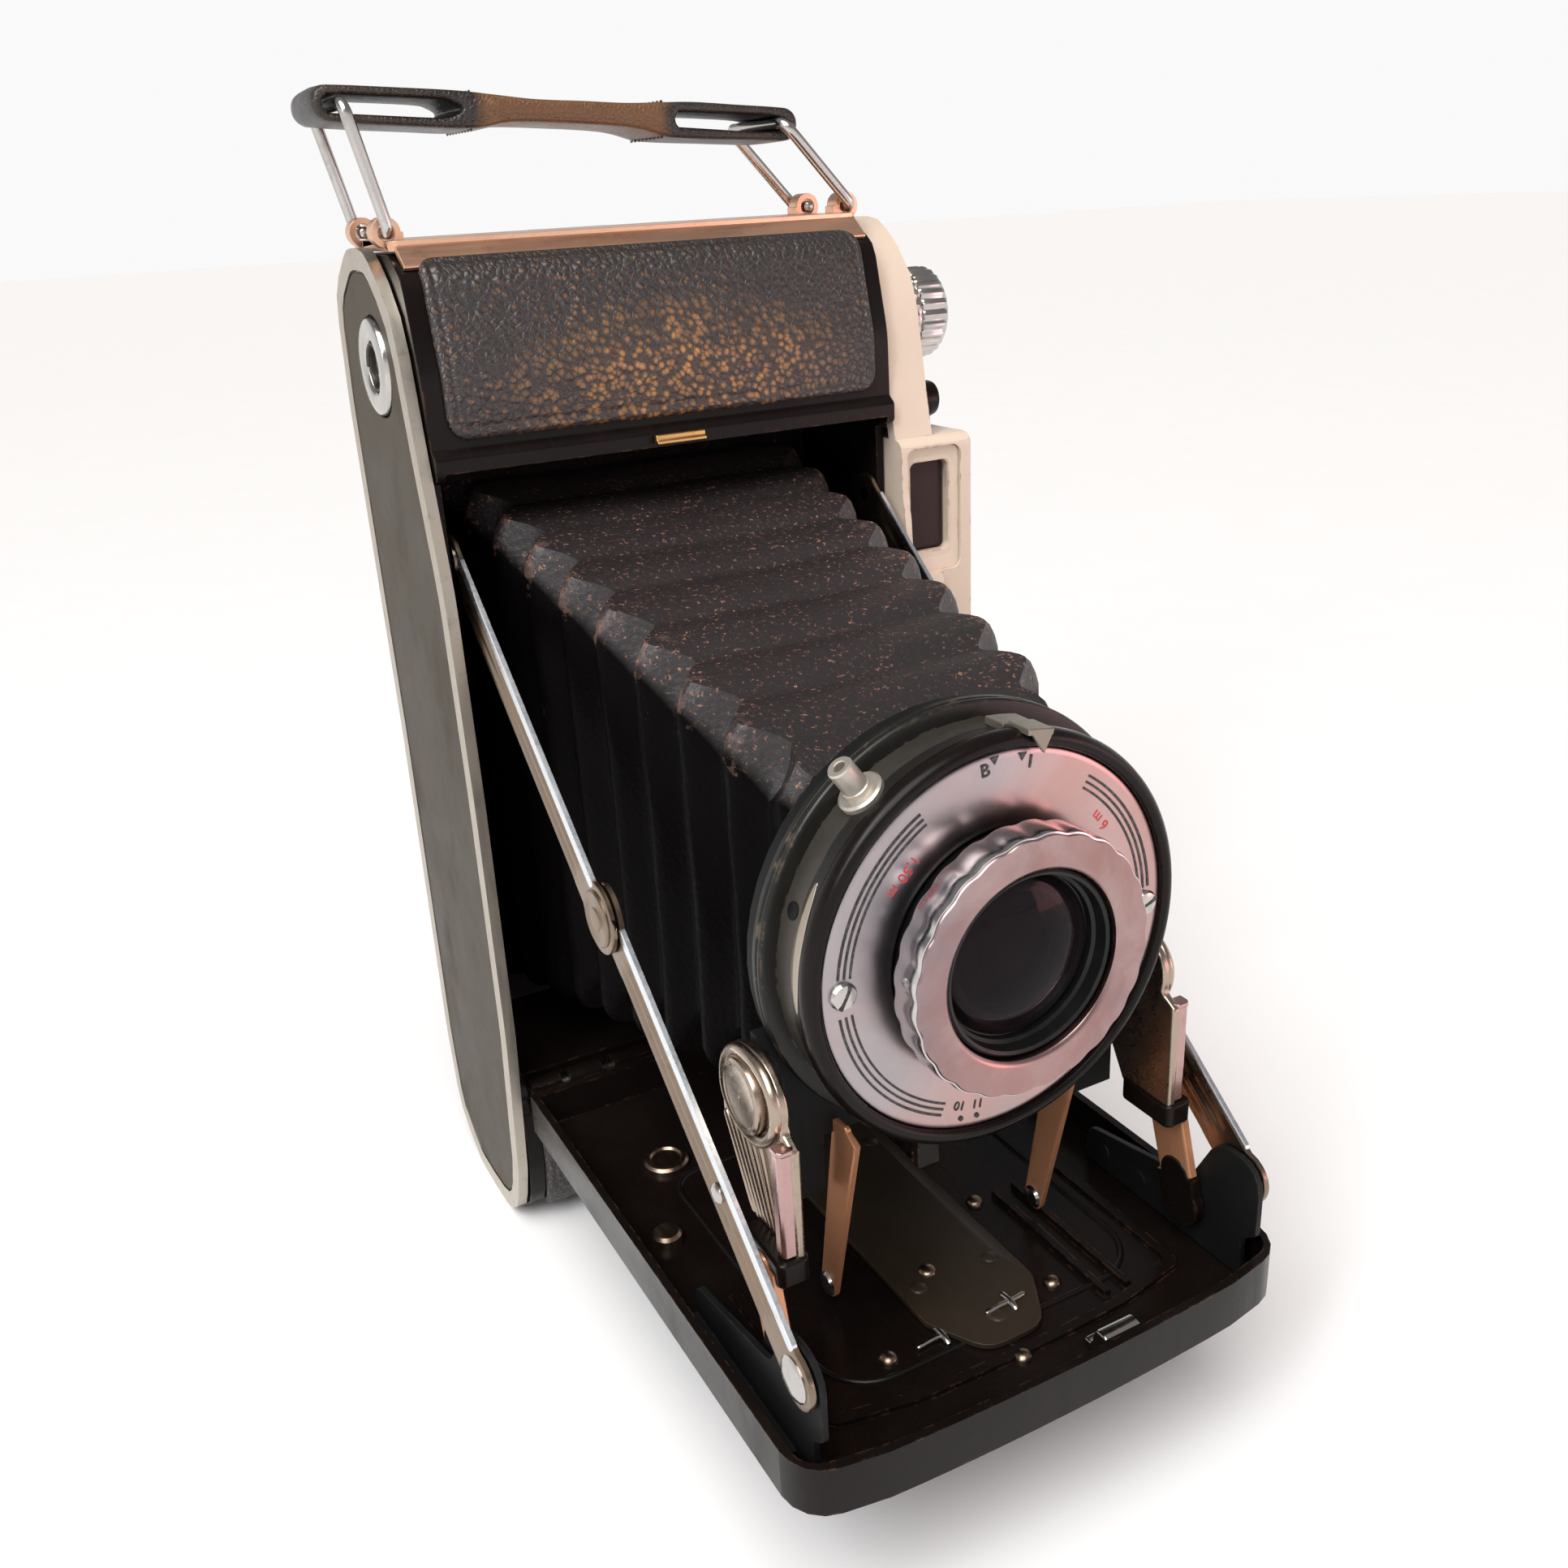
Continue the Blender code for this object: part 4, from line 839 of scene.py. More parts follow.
# ---- bellows ------------------------------------------------------------------------
def build_bellows():
    """Folded leatherette tube: ridges and valleys, tucked corners, wear on the ridges."""
    pleats = 9
    rear, front = 27.4, -68.6
    cloth = 0.45            # thickness
    fold = [(0.0, 0.0), (0.07, 0.05), (0.16, 0.25), (0.3, 0.62), (0.42, 0.93), (0.5, 1.0),
            (0.56, 0.93), (0.68, 0.66), (0.82, 0.3), (0.92, 0.08)]
    stations = [(k, (k + t) / pleats, sink) for k in range(pleats) for t, sink in fold]
    stations.append((pleats, 1.0, 0.0))
    bm = bmesh.new()
    layers = [bm.verts.layers.float.new(name) for name in ("wear", "top")]
    shells = []
    for inner in (0.0, cloth):
        shells.append([bellows_ring(bm, layers, rear + (front - rear) * share, share, sink, inner, k)
                       for k, share, sink in stations])
        bridge(bm, shells[-1])
    for end in (0, -1):
        bridge(bm, [shells[0][end], shells[1][end]])
    obj = from_bmesh("bellows_folds", bm, "bellows", "camera_body", replaces=("bellows",),
                     slot="bellows_cloth", angle=38)
    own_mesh(obj)


def bellows_ring(bm, layers, y, share, sink, inner, k):
    """One cross-section; sink is 0 on a ridge and 1 at the bottom of a fold."""
    rear_x, rear_z, front_x, front_z = 31.4, 46.6, 22.6, 23.4
    half_x = rear_x + (front_x - rear_x) * share - inner
    half_z = rear_z + (front_z - rear_z) * share - inner
    closing = max(0.0, (share - 0.955) / 0.045)     # the last pleat draws in to the lens board
    half_x -= 2.2 * closing
    half_z -= 2.0 * closing
    sink = max(sink, 0.3 * closing)
    top_sink, side_sink = 0.65 * sink ** 3 + 0.12 * sink, 2.7 * sink
    chamfer_x = 2.0 + 2.6 * sink
    chamfer_z = 4.4 - 0.9 * share + 3.4 * sink
    top, side = half_z - top_sink, half_x - side_sink
    shoulder, bend = top - chamfer_z, side - chamfer_x + side_sink * 0.45
    wave = 0.22
    corners = [(side, -shoulder), (side, shoulder), (bend, top), (-bend, top),
               (-side, shoulder), (-side, -shoulder), (-bend, -top), (bend, -top)]
    faces = (16, 3, 10, 3) * 2          # up a side, a corner, across the top, a corner
    ring = []
    for (ax, az), (bx, bz), count in zip(corners, corners[1:] + corners[:1], faces):
        for i in range(count):
            t = i / count
            x, z = ax + (bx - ax) * t, az + (bz - az) * t
            bow = math.sin(math.pi * t) * (0.35 if count > 3 else 1.5 * sink - 0.5)
            length = max(1e-6, math.hypot(x, z))
            seed = Vector((x * 0.11, y * 0.13, z * 0.11))
            move = -bow + wave * noise.noise(seed) + 0.35 * wave * noise.noise(seed * 4.1)
            x += x / length * move
            z += z / length * move
            slide = 0.5 * noise.noise(Vector((k * 3.1, x * 0.05, z * 0.05)))
            vert = bm.verts.new((x, y + slide * (1 if 0.01 < share < 0.99 else 0), LENS_Z + z))
            near_corner = 1.0 if count == 3 else max(0.0, 1 - min(t, 1 - t) * count / 1.5)
            high_side = min(1.0, max(0.0, (z + 8) / 20))
            # The second layer marks the top panels, which the cloth paints lighter than the shaded
            # sides.
            vert[layers[1]] = min(1.0, max(0.0, (z - top + chamfer_z * 0.98) / (chamfer_z * 0.3)))
            vert[layers[0]] = max(0.0, 1 - sink * 2.2) * (0.15 + 0.85 * near_corner) * high_side
            ring.append(vert)
    return ring


# ---- bed, braces and legs -----------------------------------------------------------
FLOOR = 25.7
KNEE = (-42.95, 80.4)           # pivots as (y, z)
BRACE_BODY = (4.9, 119.8)
BRACE_BED = (-90.8, 41.0)
LEG_FOOT = (-82.0, 32.5)


def ribbon(name, material, body, start, end, width, radii, faces, side, grooves=0, taper=1.0, **options):
    """A flat link between two pivots: round ends, soft edges and lengthwise grooves."""
    rows, depth, margin = 33, 0.3, 7.0
    a, b = Vector(start), Vector(end)
    along = (b - a).normalized()
    across = Vector((-along.y, along.x))
    length = (b - a).length
    ends = ((0.0, radii[0], -1), (length, radii[1], 1))
    stations = [centre + way * radius * math.sin(math.radians(10 * k))
                for centre, radius, way in ends for k in range(10)]
    stations += [length * k / 60 for k in range(61)]
    stations = sorted({round(s, 4) for s in stations})[1:-1]
    low, high = sorted((side * faces[0], side * faces[1]))
    half = (high - low) / 2
    middle = (high + low) / 2
    bm = bmesh.new()
    sheets = []
    for way in (-1, 1):
        sheet = []
        for s in stations:
            share = min(1.0, max(0.0, s / length))
            w = width / 2 * (1 + (taper - 1) * share)
            for centre, radius, _ in ends:
                if abs(s - centre) < radius:
                    w = max(w if 0 <= s <= length else 0, math.sqrt(radius ** 2 - (s - centre) ** 2))
            row = []
            for j in range(rows):
                u = -1 + 2 * j / (rows - 1)
                drop = 0.28 * half * max(0.0, 1 - (1 - abs(u)) * w / 0.35) ** 2
                inset = min(s + radii[0], length + radii[1] - s)
                drop += 0.28 * half * max(0.0, 1 - inset / 0.35) ** 2
                if grooves and margin < s < length - margin:
                    fade = min(1.0, (s - margin) / 1.5, (length - margin - s) / 1.5)
                    wave = math.cos(math.pi * u * (grooves + 0.5) * 0.86)
                    drop += depth * fade * (0.5 - 0.5 * wave) * (1 if abs(u) < 0.86 else 0.3)
                spot = a + along * s + across * (u * w)
                row.append(bm.verts.new((middle + way * (half - drop), spot.x, spot.y)))
            sheet.append(row)
        sheets.append(sheet)
    for sheet in sheets:
        bridge(bm, sheet, wrap=False)
    count = len(stations)
    rim = [(i, 0) for i in range(count)] + [(count - 1, j) for j in range(1, rows)]
    rim += [(i, rows - 1) for i in range(count - 2, -1, -1)] + [(0, j) for j in range(rows - 2, 0, -1)]
    bridge(bm, [[sheet[i][j] for i, j in rim] for sheet in sheets])
    from_bmesh(name, bm, material, body, **options)


def build_braces():
    """Grooved brace links with a painted highlight strip along the upper edge, a boss at the knee, studs
    and pins.
    """
    knee = Vector(KNEE)
    run = (knee - Vector(BRACE_BODY)).normalized()
    lift = Vector((run.y, -run.x)) * 2.75
    for suffix, side in SIDES:
        upper, lower = "brace_upper_" + suffix, "brace_lower_" + suffix
        for part, body, end, radius, faces in (("brace_top_", upper, BRACE_BODY, 3.5, (35.6, 36.4)),
                                               ("brace_foot_", lower, BRACE_BED, 3.9, (34.5, 35.4))):
            ribbon(part + suffix, "nickel", body, end, KNEE, 6.6, (radius, 5.0), faces, side, 3,
                   replaces=(body,), slot="nickel", angle=60)
        # Painted highlight: a slim near-white strip along each link's upper edge, where the light
        # catches it.
        for part, first, last, face in (
                ("upper_", Vector(BRACE_BODY) + run * 3.2, knee - run * 4.2, 36.3),
                ("lower_", Vector(BRACE_BED) - run * 3.4, knee + run * 4.2, 35.2)):
            ribbon("brace_highlight_strip_" + part + suffix, "bright", "brace_" + part + suffix, first + lift,
                   last + lift, 1.7, (0.85, 0.85), (face - 0.6, face + 0.25), side)
        outer, inner = side * 36.42, side * 35.32   # outer faces of the upper and lower link
        lathe("knee_boss_" + suffix, standing(outer, side, (
            (0, -0.3), (4.0, -0.3), (4.0, 0.1), (3.8, 0.32), (3.4, 0.4), (3.0, 0.25), (1.7, 0.25),
            (1.5, 0.42), (0, 0.5))), "X", KNEE, "nickel", upper, 48)
        bm = bmesh.new()
        for spot, r, height in (((-73.1, 55.6), 1.35, 0.75), (BRACE_BED, 2.9, 0.85)):
            add_lathe(bm, standing(inner, side, (
                (0, -0.3), (r, -0.3), (r, 0.2), (r * 0.86, height * 0.62), (r * 0.55, height * 0.92),
                (0, height))), "X", spot, 36)
        from_bmesh("brace_studs_" + suffix, bm, "chrome", lower)
        lathe("brace_pin_" + suffix, standing(outer, side, (
            (0, -0.3), (2.3, -0.3), (2.3, 0.15), (1.9, 0.4), (0, 0.52))), "X", BRACE_BODY, "chrome",
            upper, 36)


def build_legs():
    """Pressed leg plates with an arch, flutes and a disc, an upright edge, a collar and an arm."""
    for suffix, side in SIDES:
        name = "leg_" + suffix
        outline = fillet([
            (-82.2, 48.6, 0.8), (-72.8, 48.6, 0.8), (-69.8, 54.0, 4.0), (-63.8, 60.0, 4.0),
            (-64.6, 68.0, 6.0), (-68.4, 73.4, 6.0), (-75.4, 74.2, 6.0), (-80.4, 70.4, 5.0),
            (-79.8, 66.0, 1.2), (-82.2, 64.6, 0.8),
        ], 9.0)
        prisms(name + "_plate", [(outline, "X", *sorted((side * 28.4, side * 29.8)))], "leg", name,
               replaces=(name,), slot="chrome", bevel=0.5, segments=3, angle=25)
        # Raised arch round the pivot disc, and flutes that fan down from it to the collar.
        arch = [(-65.8, 66.4), (-66.6, 69.6), (-69.2, 72.2), (-72.8, 73.0), (-76.4, 72.4), (-78.8, 70.0),
                (-79.0, 66.8), (-77.2, 63.8), (-74.4, 61.9), (-71.2, 61.5), (-68.2, 62.4), (-66.4, 64.2)]
        path = curved([(side * 29.9, y, z) for y, z in arch[-1:] + arch + arch[:2]], 6)[6:-6]
        relief = [(path, 0.85, 16)]
        tops = [(-65.4, 60.8), (-66.8, 61.2), (-68.6, 60.9), (-70.5, 60.4), (-72.5, 60.3), (-74.6, 60.9)]
        for k, (y, z) in enumerate(tops):
            foot_y = -71.6 - 1.2 * k
            relief.append(([(side * (29.75 - 0.5 * max(0, t - 0.9)), y + (foot_y - y) * t,
                             z + (50.0 - z) * t) for t in [i / 10 for i in range(11)]], 0.56, 14))
        wires(name + "_relief", relief, "leg", name)
        lathe(name + "_disc", standing(side * 29.7, side, (
            (0, -0.6), (5.0, -0.6), (5.0, 1.0), (4.85, 1.4), (4.5, 1.6), (4.1, 1.55), (3.9, 1.42),
            (0.35, 1.46), (0.3, 1.25), (0, 1.25))), "X", (-72.0, 67.3), "leg", name, 64, angle=25)
        # The folded front edge: a slim six-sided upright with a bright cap.
        cx, cy = side * 30.3, -80.9
        hexagon, cap = ([(cx + side * dx * grow, cy + dy * grow) for dx, dy in
                         ((-1.2, 0.8), (-1.2, -0.4), (-0.7, -1.1), (0.7, -1.1), (1.1, -0.6), (1.1, 0.8))]
                        for grow in (1, 1.1))
        prisms(name + "_upright", [(hexagon, "Z", 49.8, 64.4), (cap, "Z", 64.4, 65.1)], "pinkish", name,
               bevel=0.18, angle=25)
        x0, x1 = sorted((side * 28.0, side * 32.4))
        collar = fillet([(x0, -82.7, 1.2), (x1, -82.7, 1.2), (x1, -72.8, 1.2), (x0, -72.8, 1.2)])
        prisms(name + "_collar", [(collar, "Z", 46.0, 49.6)], "black", name, bevel=0.5, segments=3)
        # The arm's copper tint is a painted warm reflection on bright metal.
        ribbon(name + "_arm", "copper_tinted_reflection", name, (-81.0, 36.6), (-78.0, 46.6), 6.4, (2.2, 2.2),
               (31.5, 32.9), side, taper=1.04, slot="chrome")
        ribbon(name + "_end", "black", name, LEG_FOOT, (-81.0, 36.4), 7.0, (3.7, 2.8),
               (31.3, 33.05), side)


def build_props():
    """The bright tapered props under the shutter, riveted through at the foot."""
    foot, head = (-67.6, 29.8), (-73.6, 58.2)
    rivet = ((0, -0.4), (1.7, -0.4), (1.7, 0.1), (1.4, 0.5), (0, 0.7))
    for suffix, side in SIDES:
        name = "strut_" + suffix
        # The blade's copper tint is a painted warm reflection on bright metal.
        ribbon(name + "_blade", "copper_tinted_reflection", "lens_board", foot, head, 3.8, (1.9, 0.5), (16.9, 17.8), side,
               taper=1.55, replaces=(name,), slot="chrome")
        for end, base, way in (("_rivet", 17.7, side), ("_rivet_in", 17.0, -side)):
            lathe(name + end, standing(side * base, way, rivet), "X", foot, "chrome", "lens_board", 32)


def build_bed():
    on = "bed"
    refined_all(("bed_shell", "black", 0.3, "black_enamel", 3),
                ("bed_leather", "pebble", 0.2, "leather"),
                ("bed_tongue_plate", "bronze", 0.15, "bronze_plate"),
                ("bed_side_plate_left", "dull", 0.15, "dark_steel"),
                ("bed_side_plate_right", "dull", 0.15, "dark_steel"),
                ("stand_foot", "nickel", 0.25, "nickel"), ("bed_latch", "chrome", 0.35, "chrome", 3))
    rivets("bed_rivets", [(10.9, -79.9), (-16.2, -80.2), (-0.2, -85.2), (-1.0, -89.0), (12.0, -60.0),
                          (-14.0, -50.0), (10.0, -46.0)], FLOOR - 0.1, FLOOR + 1.0)
    rivets("tongue_rivet", [(-3.1, -69.8)], 26.7, 27.5)
    # Two wire clips that hold the focusing slide.
    clips = []
    for x, y, z in ((-8.6, -80.6, FLOOR + 0.4), (2.2, -80.9, FLOOR + 1.3)):
        for radius, bend in (
                (0.42, ((-3.2, -0.2, 0), (-1.0, 0, 0.05), (1.4, 0, 0.05), (3.0, 0.2, 0))),
                (0.5, ((0.6, -1.4, -0.1), (0.6, -0.6, 0.15), (0.6, 0.4, 0.2), (0.6, 1.5, 0)))):
            clips.append((curved([(x + dx, y + dy, z + dz) for dx, dy, dz in bend], 4), radius, 12))
    wires("wire_clips", clips, "chrome", on)
    # Pressed slot with two long ridges to the right of the tongue plate.
    ridges = []
    for x, y0, y1 in ((16.2, -79.6, -69.5), (19.4, -77.8, -67.0)):
        line = [y0 + (y1 - y0) * k / 12 for k in range(13)]
        ridges.append(([(x + 0.02 * (y - y0), y, FLOOR + 0.05) for y in line], 0.62, 12))
    wires("slot_ridges", ridges, "bronze", on)
    bm = bmesh.new()
    outline = fillet([(24.8, -30.0, 5), (24.8, -83.0, 8), (-24.8, -83.0, 8), (-24.8, -30.0, 5)], 10)
    add_lip(bm, outline, FLOOR - 0.05, 1.0, 0.5)
    from_bmesh("floor_bead", bm, "plain", on)
    lathe("side_disc", standing(FLOOR, 1, (
        (0, 0), (3.6, 0), (3.6, 0.8), (3.2, 1.2), (2.6, 1.25), (2.3, 0.9), (0, 0.9))),
        "Z", (-23.5, -26.0), "nickel", on, 40)
    lathe("side_stud", standing(FLOOR, 1, ((0, 0), (2.2, 0), (2.2, 1.4), (1.8, 1.9), (0, 2.0))),
          "Z", (-31.1, -43.2), "nickel", on, 36)


def add_lip(bm, outline, base, width, height):
    """A rounded bead of a given width that follows a closed outline on a floor."""
    count = len(outline)
    rings = []
    for step in range(7):
        t = math.pi * step / 6
        shift, rise = -math.cos(t) * width / 2, math.sin(t) * height
        ring = []
        for i in range(count):
            a, b, c = (Vector(outline[j % count]) for j in (i - 1, i, i + 1))
            normal = (c - a).normalized()
            spot = b + Vector((-normal.y, normal.x)) * shift
            ring.append(bm.verts.new((spot.x, spot.y, base + rise)))
        rings.append(ring)
    bridge(bm, rings, closed=True)


# ---- shutter and lens ---------------------------------------------------------------
def build_shutter():
    on = "lens_board"
    refined("lens_board", "dull", 0.2, "dark_steel")
    # The rear flange has a groove round its rim; the barrel steps in towards the front.
    lathe("case", [
        (14.0, -71.2), (27.6, -71.2), (28.1, -71.5), (28.2, -71.8), (28.2, -72.5), (27.9, -72.7),
        (27.9, -72.85), (28.2, -73.0), (28.2, -73.35), (28.0, -73.65), (27.5, -73.8), (26.0, -73.9),
        (26.0, -77.5), (26.3, -77.8), (26.3, -80.15), (25.0, -80.2), (14.0, -80.2),
    ], "Y", LENS, "black_case", on, 160, replaces=("shutter_case",), slot="black_enamel", angle=28,
        bevel=0.08)
    lathe("barrel_wall", [(25.4, -73.95), (26.08, -73.95), (26.08, -77.6), (25.4, -77.6)], "Y", LENS,
          "barrel", on, 160, angle=30)
    lathe("bezel", [
        (24.75, -80.3), (26.8, -80.3), (26.95, -80.6), (26.95, -81.6), (26.7, -82.3), (26.2, -82.75),
        (25.6, -82.85), (25.1, -82.65), (24.85, -82.2),
    ], "Y", LENS, "black", on, 160, replaces=("shutter_bezel",), slot="black_enamel", angle=50)
    lathe("plate", [
        (15.3, -80.35), (24.65, -80.35), (24.65, -82.0), (24.45, -82.15), (23.9, -82.2), (20.0, -82.3),
        (16.2, -82.3), (15.6, -82.15), (15.3, -81.9),
    ], "Y", LENS, "plate", on, 160, replaces=("face_plate",), slot="aluminium", angle=40)
    build_marks(on)
    build_ring(on)
    build_levers(on)


def build_marks(on):
    """Lines, dots, letters and screws on the face of the lens plate."""
    face = -82.34
    bm = bmesh.new()
    for start, end in ((119.5, 174.5), (187.5, 247.0), (4.0, 56.0)):
        for radius in (21.15, 21.95, 22.75):
            add_sector(bm, radius - 0.15, radius + 0.15, start, end, (face + 0.2, face), 48)
    for angle, radius, size in ((92.6, 24.1, 0.55), (83.2, 23.9, 0.55), (-104.8, 23.3, 0.35),
                                (-98.8, 23.2, 0.35)):
        spin = math.radians(angle)
        middle = Vector(polar(radius, angle))
        turns, grow = [spin + a for a in (math.pi, math.pi / 3, -math.pi / 3)], 1.2
        if size < 0.5:
            turns, grow = [2 * math.pi * k / 16 for k in range(16)], 1
        shape = [tuple(middle + Vector((math.cos(a), math.sin(a))) * size * grow) for a in turns]
        add_prism(bm, shape, "Y", face + 0.2, face)
    from_bmesh("plate_lines", bm, "ink", on)
    for name, text, size, angle, radius, turn, ink in (
            ("mark_b", "B", 2.3, 95.9, 22.35, -90, "ink"), ("mark_i", "I", 2.3, 80.0, 22.3, -90, "ink"),
            ("mark_10", "10", 1.75, -106.6, 20.9, -90, "ink"),
            ("mark_11", "11", 1.75, -99.2, 20.9, -90, "ink"),
            ("mark_near", "1,50 m", 2.0, 137.0, 19.3, 90, "red_ink"),
            ("mark_far", "6 m", 2.0, 41.0, 19.9, 90, "red_ink")):
        add_text(name, text, size, angle, radius, turn, ink, on, face)
    screws = (((-22.1, 83.3), 62), ((22.1, 82.6), 20))
    bm = bmesh.new()
    for spot, _ in screws:
        add_lathe(bm, [(0, -81.9), (1.75, -81.9), (1.75, -82.55), (1.5, -82.9), (1.0, -83.05),
                       (0, -83.1)], "Y", spot, 40)
    from_bmesh("plate_screws", bm, "chrome", on)
    slots = []
    for (x, z), turn in screws:
        c, s = math.cos(math.radians(turn)), math.sin(math.radians(turn))
        slots.append(([(x + u * c - v * s, z + u * s + v * c) for u, v in
                       ((-1.55, -0.2), (1.55, -0.2), (1.55, 0.2), (-1.55, 0.2))], "Y", -82.6, -83.13))
    prisms("screw_slots", slots, "ink", on)


def add_text(name, text, size, angle, radius, turn, ink, body, face):
    """Engraved letters at an angle and a radius round the lens, turned to face in or out."""
    curve = bpy.data.curves.new(name, "FONT")
    curve.body = text
    curve.size = size * MM
    curve.align_x = "CENTER"
    curve.align_y = "BOTTOM_BASELINE"
    curve.extrude = 0.05 * MM
    curve.offset = 0.012 * MM
    source = bpy.data.objects.new(name + "_source", curve)
    bpy.context.scene.collection.objects.link(source)
    mesh = bpy.data.meshes.new_from_object(source.evaluated_get(bpy.context.evaluated_depsgraph_get()))
    bpy.data.objects.remove(source, do_unlink=True)
    x, z = polar(radius, angle)
    mesh.transform(Matrix.Translation(P(x, face + 0.04, z))
                   @ Matrix.Rotation(-math.radians(angle + turn), 4, "Y")
                   @ Matrix.Rotation(math.radians(90), 4, "X"))
    obj = bpy.data.objects.new(name, mesh)
    bpy.context.scene.collection.objects.link(obj)
    mesh.materials.clear()
    mesh.materials.append(MAT[ink])
    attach(obj, body)


def build_ring(on):
    """Scalloped focusing ring, the black lens tube and the glass."""
    lobes = 24

    def scallops(t, r):
        wave = 0.5 + 0.5 * math.cos(lobes * t)
        return r - 0.26 * wave ** 1.5 * min(1.0, max(0.0, (r - 15.6) / 0.8))

    lathe("ring_side", [
        (14.4, -84.3), (16.5, -84.3), (16.85, -84.6), (16.95, -85.0), (16.95, -88.4), (16.8, -88.85),
        (16.2, -89.0), (14.4, -89.0),
    ], "Y", LENS, "ring_side", "focus_ring", 288, radial=scallops, replaces=("focus_ring",),
        slot="chrome", angle=38)
    lathe("ring_face", [
        (12.2, -84.5), (15.4, -84.5), (16.62, -89.05), (16.5, -89.2), (13.0, -89.2), (12.5, -89.05),
        (12.2, -88.7),
    ], "Y", LENS, "ring_face", "focus_ring", 288, radial=scallops, angle=38)
    lathe("tube", [
        (8.4, -67.0), (13.0, -67.0), (13.0, -70.0), (14.9, -70.3), (14.9, -83.2), (14.6, -83.7),
        (11.9, -83.9), (11.9, -88.0), (11.6, -88.2), (11.2, -88.0), (11.0, -86.4), (10.6, -86.1),
        (10.5, -85.2), (8.4, -84.6),
    ], "Y", LENS, "inner", on, 120, replaces=("lens_tube",), slot="black_enamel", angle=30)
    lathe("glass_front", [
        (0, -84.8), (10.2, -84.8), (10.2, -85.5), (8.9, -86.2), (7.4, -86.75), (5.6, -87.2),
        (3.6, -87.5), (1.8, -87.65), (0, -87.7),
    ], "Y", LENS, "glass", on, 96, replaces=("front_glass",), slot="glass", angle=40)
    lathe("glass_middle", [
        (0, -80.4), (7.6, -80.9), (7.6, -81.8), (5.0, -82.4), (2.5, -82.75), (0, -82.85),
    ], "Y", LENS, "glass", on, 96, slot="glass", angle=40)
    refined("rear_glass", "glass", 0.0, "glass")
    lathe("inner_steps", [
        (7.7, -84.5), (10.2, -84.7), (10.2, -84.2), (9.2, -84.0), (9.2, -83.0), (8.3, -82.9),
        (8.3, -79.0), (7.7, -79.0),
    ], "Y", LENS, "inner", on, 96, angle=30)
    # Shutter leaves: five overlapping blades behind the middle glass, in matt lens black rather than
    # steel, as painted shade that keeps the inside of the lens dark.
    leaves = [([polar(radius, 72 * k + angle) for radius, angle in
                ((0.4, 0), (8.0, -12), (8.05, 20), (8.05, 50), (8.0, 78), (0.8, 60))],
               "Y", -77.7 - 0.12 * k, -77.8 - 0.12 * k) for k in range(5)]
    prisms("leaves", leaves, "inner", on, replaces=("shutter_blades",), slot="dark_steel", angle=20)


def on_barrel(name, profile, steps, radius, degrees, y, material, body, **options):
    """A turned piece that stands out of the barrel's side at an angle round the lens."""
    bm = bmesh.new()
    add_lathe(bm, profile, "Z", (0, 0), steps)
    x, z = polar(radius, degrees)
    out = Vector((math.cos(math.radians(degrees)), 0, math.sin(math.radians(degrees))))
    bm.transform(Matrix.Translation((x, y, z)) @ out.to_track_quat("Z", "Y").to_matrix().to_4x4())
    from_bmesh(name, bm, material, body, **options)


def build_levers(on):
    # The speed pointer: a slim arm on the barrel, bent over the bezel into a pointed tip.
    bm = bmesh.new()
    add_sector(bm, 26.2, 27.2, 77.0, 86.6, (-80.2, -76.6), 5)
    add_sector(bm, 26.6, 27.4, 76.8, 84.6, (-83.75, -79.8), 5)
    add_prism(bm, [polar(24.4, 78.6), polar(27.4, 84.6), polar(27.4, 76.8)], "Y", -83.8, -83.2)
    from_bmesh("speed_pointer", bm, "pointer", "speed_lever", replaces=("speed_lever",), slot="chrome",
               bevel=0.12, angle=30)
    refined("aperture_lever", "black", 0.2, "chrome")
    on_barrel("release_socket", [
        (0, 0), (2.9, 0), (2.9, 0.7), (2.6, 0.95), (1.75, 1.0), (1.75, 1.6), (1.6, 1.7), (1.6, 4.9),
        (1.45, 5.15), (0.85, 5.15), (0.75, 5.0), (0.75, 2.6), (0, 2.6),
    ], 48, 26.1, 125.7, -76.6, "silver", on, replaces=("cable_socket",), slot="chrome", angle=30)
    # A bright rubbed strip on the barrel, beside a small hole.
    strip_radius, first, sweep = 26.34, 150.0, 36.0
    bm = bmesh.new()
    rows = []
    for k in range(41):
        x, z = polar(strip_radius, first + sweep * k / 40)
        wide = 0.95 * math.sin(math.pi * max(0.02, k / 40)) ** 0.5
        rows.append([bm.verts.new((x, -78.7 + w * wide, z)) for w in (-1, -0.4, 0.4, 1)])
    bridge(bm, rows, wrap=False)
    strip = from_bmesh("barrel_strip", bm, "arc", on)
    thick = strip.modifiers.new("thickness", "SOLIDIFY")
    thick.thickness = 0.05 * MM
    on_barrel("barrel_hole", [(0, 0), (1.1, 0), (1.1, 0.58), (1.0, 0.62), (0, 0.62)], 32, 25.6, 160,
              -75.9, "dull", on)


# ---- back ---------------------------------------------------------------------------
def build_back():
    refined_all(("back_door", "black", 0.5, "black_enamel", 3),
                ("back_leather", "pebble", 0.3, "leather"),
                ("red_window", "red_glass", 0.15, "red_glass"),
                ("window_slide", "chrome", 0.25, "chrome", 3))


# ---- camera, floor and light --------------------------------------------------------
def area(name, spot, aim, size, power, colour, tall):
    """A rectangular lamp, unseen by the camera, that faces a point."""
    data = bpy.data.lights.new(name, "AREA")
    data.energy = power
    data.color = colour
    data.shape = "RECTANGLE"
    data.size = size
    data.size_y = tall
    lamp = bpy.data.objects.new(name, data)
    lamp.location = Vector(spot)
    lamp.visible_camera = False
    lamp.rotation_euler = (Vector(aim) - Vector(spot)).to_track_quat("-Z", "Y").to_euler()
    bpy.context.scene.collection.objects.link(lamp)


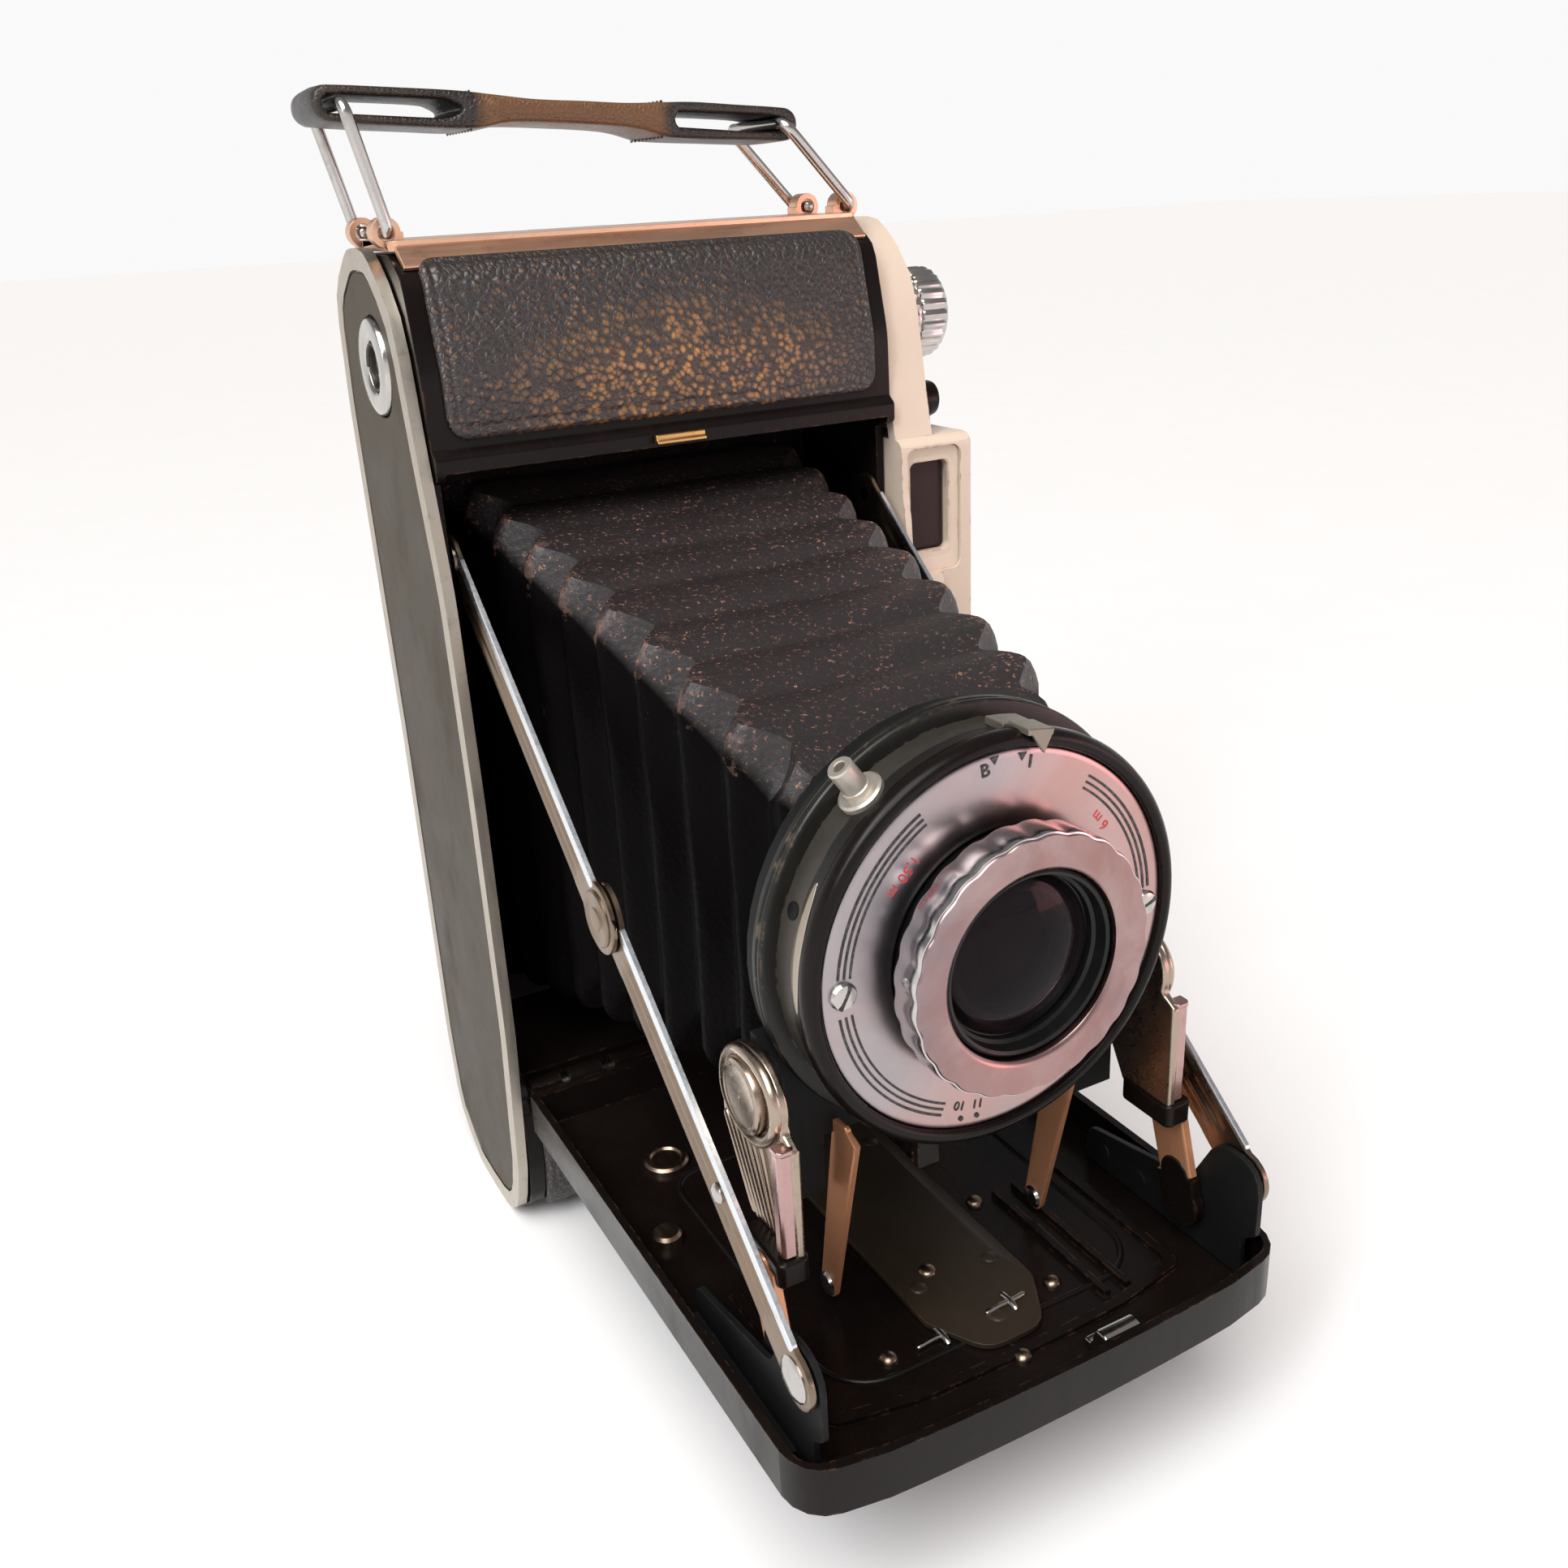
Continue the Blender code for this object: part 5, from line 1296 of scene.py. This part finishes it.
def build_stage():
    bm = bmesh.new()
    size, rows = 6.0, 24
    grid = [[bm.verts.new((-size + 2 * size * i / rows, -size + 2 * size * j / rows, -0.0002))
             for j in range(rows + 1)] for i in range(rows + 1)]
    for i in range(rows):
        for j in range(rows):
            bm.faces.new((grid[i][j], grid[i + 1][j], grid[i + 1][j + 1], grid[i][j + 1]))
    mesh = bpy.data.meshes.new("floor")
    bm.to_mesh(mesh)
    bm.free()
    floor = bpy.data.objects.new("floor", mesh)
    bpy.context.scene.collection.objects.link(floor)
    shade = Shade("floor_paper")
    grain = shade.noise(30, 4)
    shade.set(Base_Color=shade.mix(grain, (0.84, 0.835, 0.83), (0.87, 0.865, 0.86)), Roughness=0.85,
              Specular_IOR_Level=0.1)
    shade.bumps((grain, 0.02))
    mesh.materials.append(shade.mat)

    # Studio walls: bright near the floor, dim overhead, the same all the way round.
    world = bpy.data.worlds.new("studio")
    world.use_nodes = True
    nodes, links = world.node_tree.nodes, world.node_tree.links
    where = nodes.new("ShaderNodeTexCoord")
    split = nodes.new("ShaderNodeSeparateXYZ")
    ramp = nodes.new("ShaderNodeValToRGB")
    ramp.color_ramp.elements[0].position = 0.16
    ramp.color_ramp.elements[0].color = (0.95, 0.95, 0.95, 1)
    ramp.color_ramp.elements[1].position = 0.42
    ramp.color_ramp.elements[1].color = (0.24, 0.235, 0.24, 1)
    links.new(where.outputs["Generated"], split.inputs[0])
    links.new(split.outputs["Z"], ramp.inputs["Fac"])
    links.new(ramp.outputs["Color"], nodes["Background"].inputs["Color"])
    nodes["Background"].inputs["Strength"].default_value = 1.0
    scene = bpy.context.scene
    scene.world = world
    scene.view_settings.view_transform = "Standard"
    scene.view_settings.look = "None"

    # A broad soft key from above left, and low warm cards that metal and leather pick up.
    data = bpy.data.lights.new("key", "SUN")
    data.energy = 3.0
    data.angle = math.radians(50)
    data.color = (1.0, 0.975, 0.95)
    key = bpy.data.objects.new("key", data)
    key.rotation_euler = Vector((0.42, 0.4, -1.0)).to_track_quat("-Z", "Y").to_euler()
    scene.collection.objects.link(key)
    area("warm_card", (0.16, -0.40, -0.05), (0.0, -0.02, 0.14), 0.30, 1.0, (1.0, 0.32, 0.08), 0.10)
    area("pink_card", (0.50, -0.50, 0.10), (0.0, -0.08, 0.09), 0.25, 0.6, (1.0, 0.40, 0.45), 0.25)
    area("cool_strip", (-0.55, -0.35, 0.62), (-0.03, -0.04, 0.10), 0.12, 2.4, (0.86, 0.94, 1.0), 0.5)

    data = bpy.data.cameras.new("camera")
    data.sensor_width = 36
    data.lens = 33.68
    data.clip_start = 0.01
    camera = bpy.data.objects.new("camera", data)
    right = Vector((0.87634, -0.47918, -0.04926))
    up = Vector((0.22013, 0.30741, 0.92576))
    back_way = Vector((-0.42846, -0.82212, 0.37488))
    view = Matrix((right, up, back_way)).transposed().to_4x4()
    view.translation = P(-93.85, -208.36, 168.19)
    scene.collection.objects.link(camera)
    camera.matrix_world = view
    scene.camera = camera


build_body()
build_winding()
build_handle()
build_bellows()
build_braces()
build_legs()
build_props()
build_bed()
build_shutter()
build_back()
build_stage()
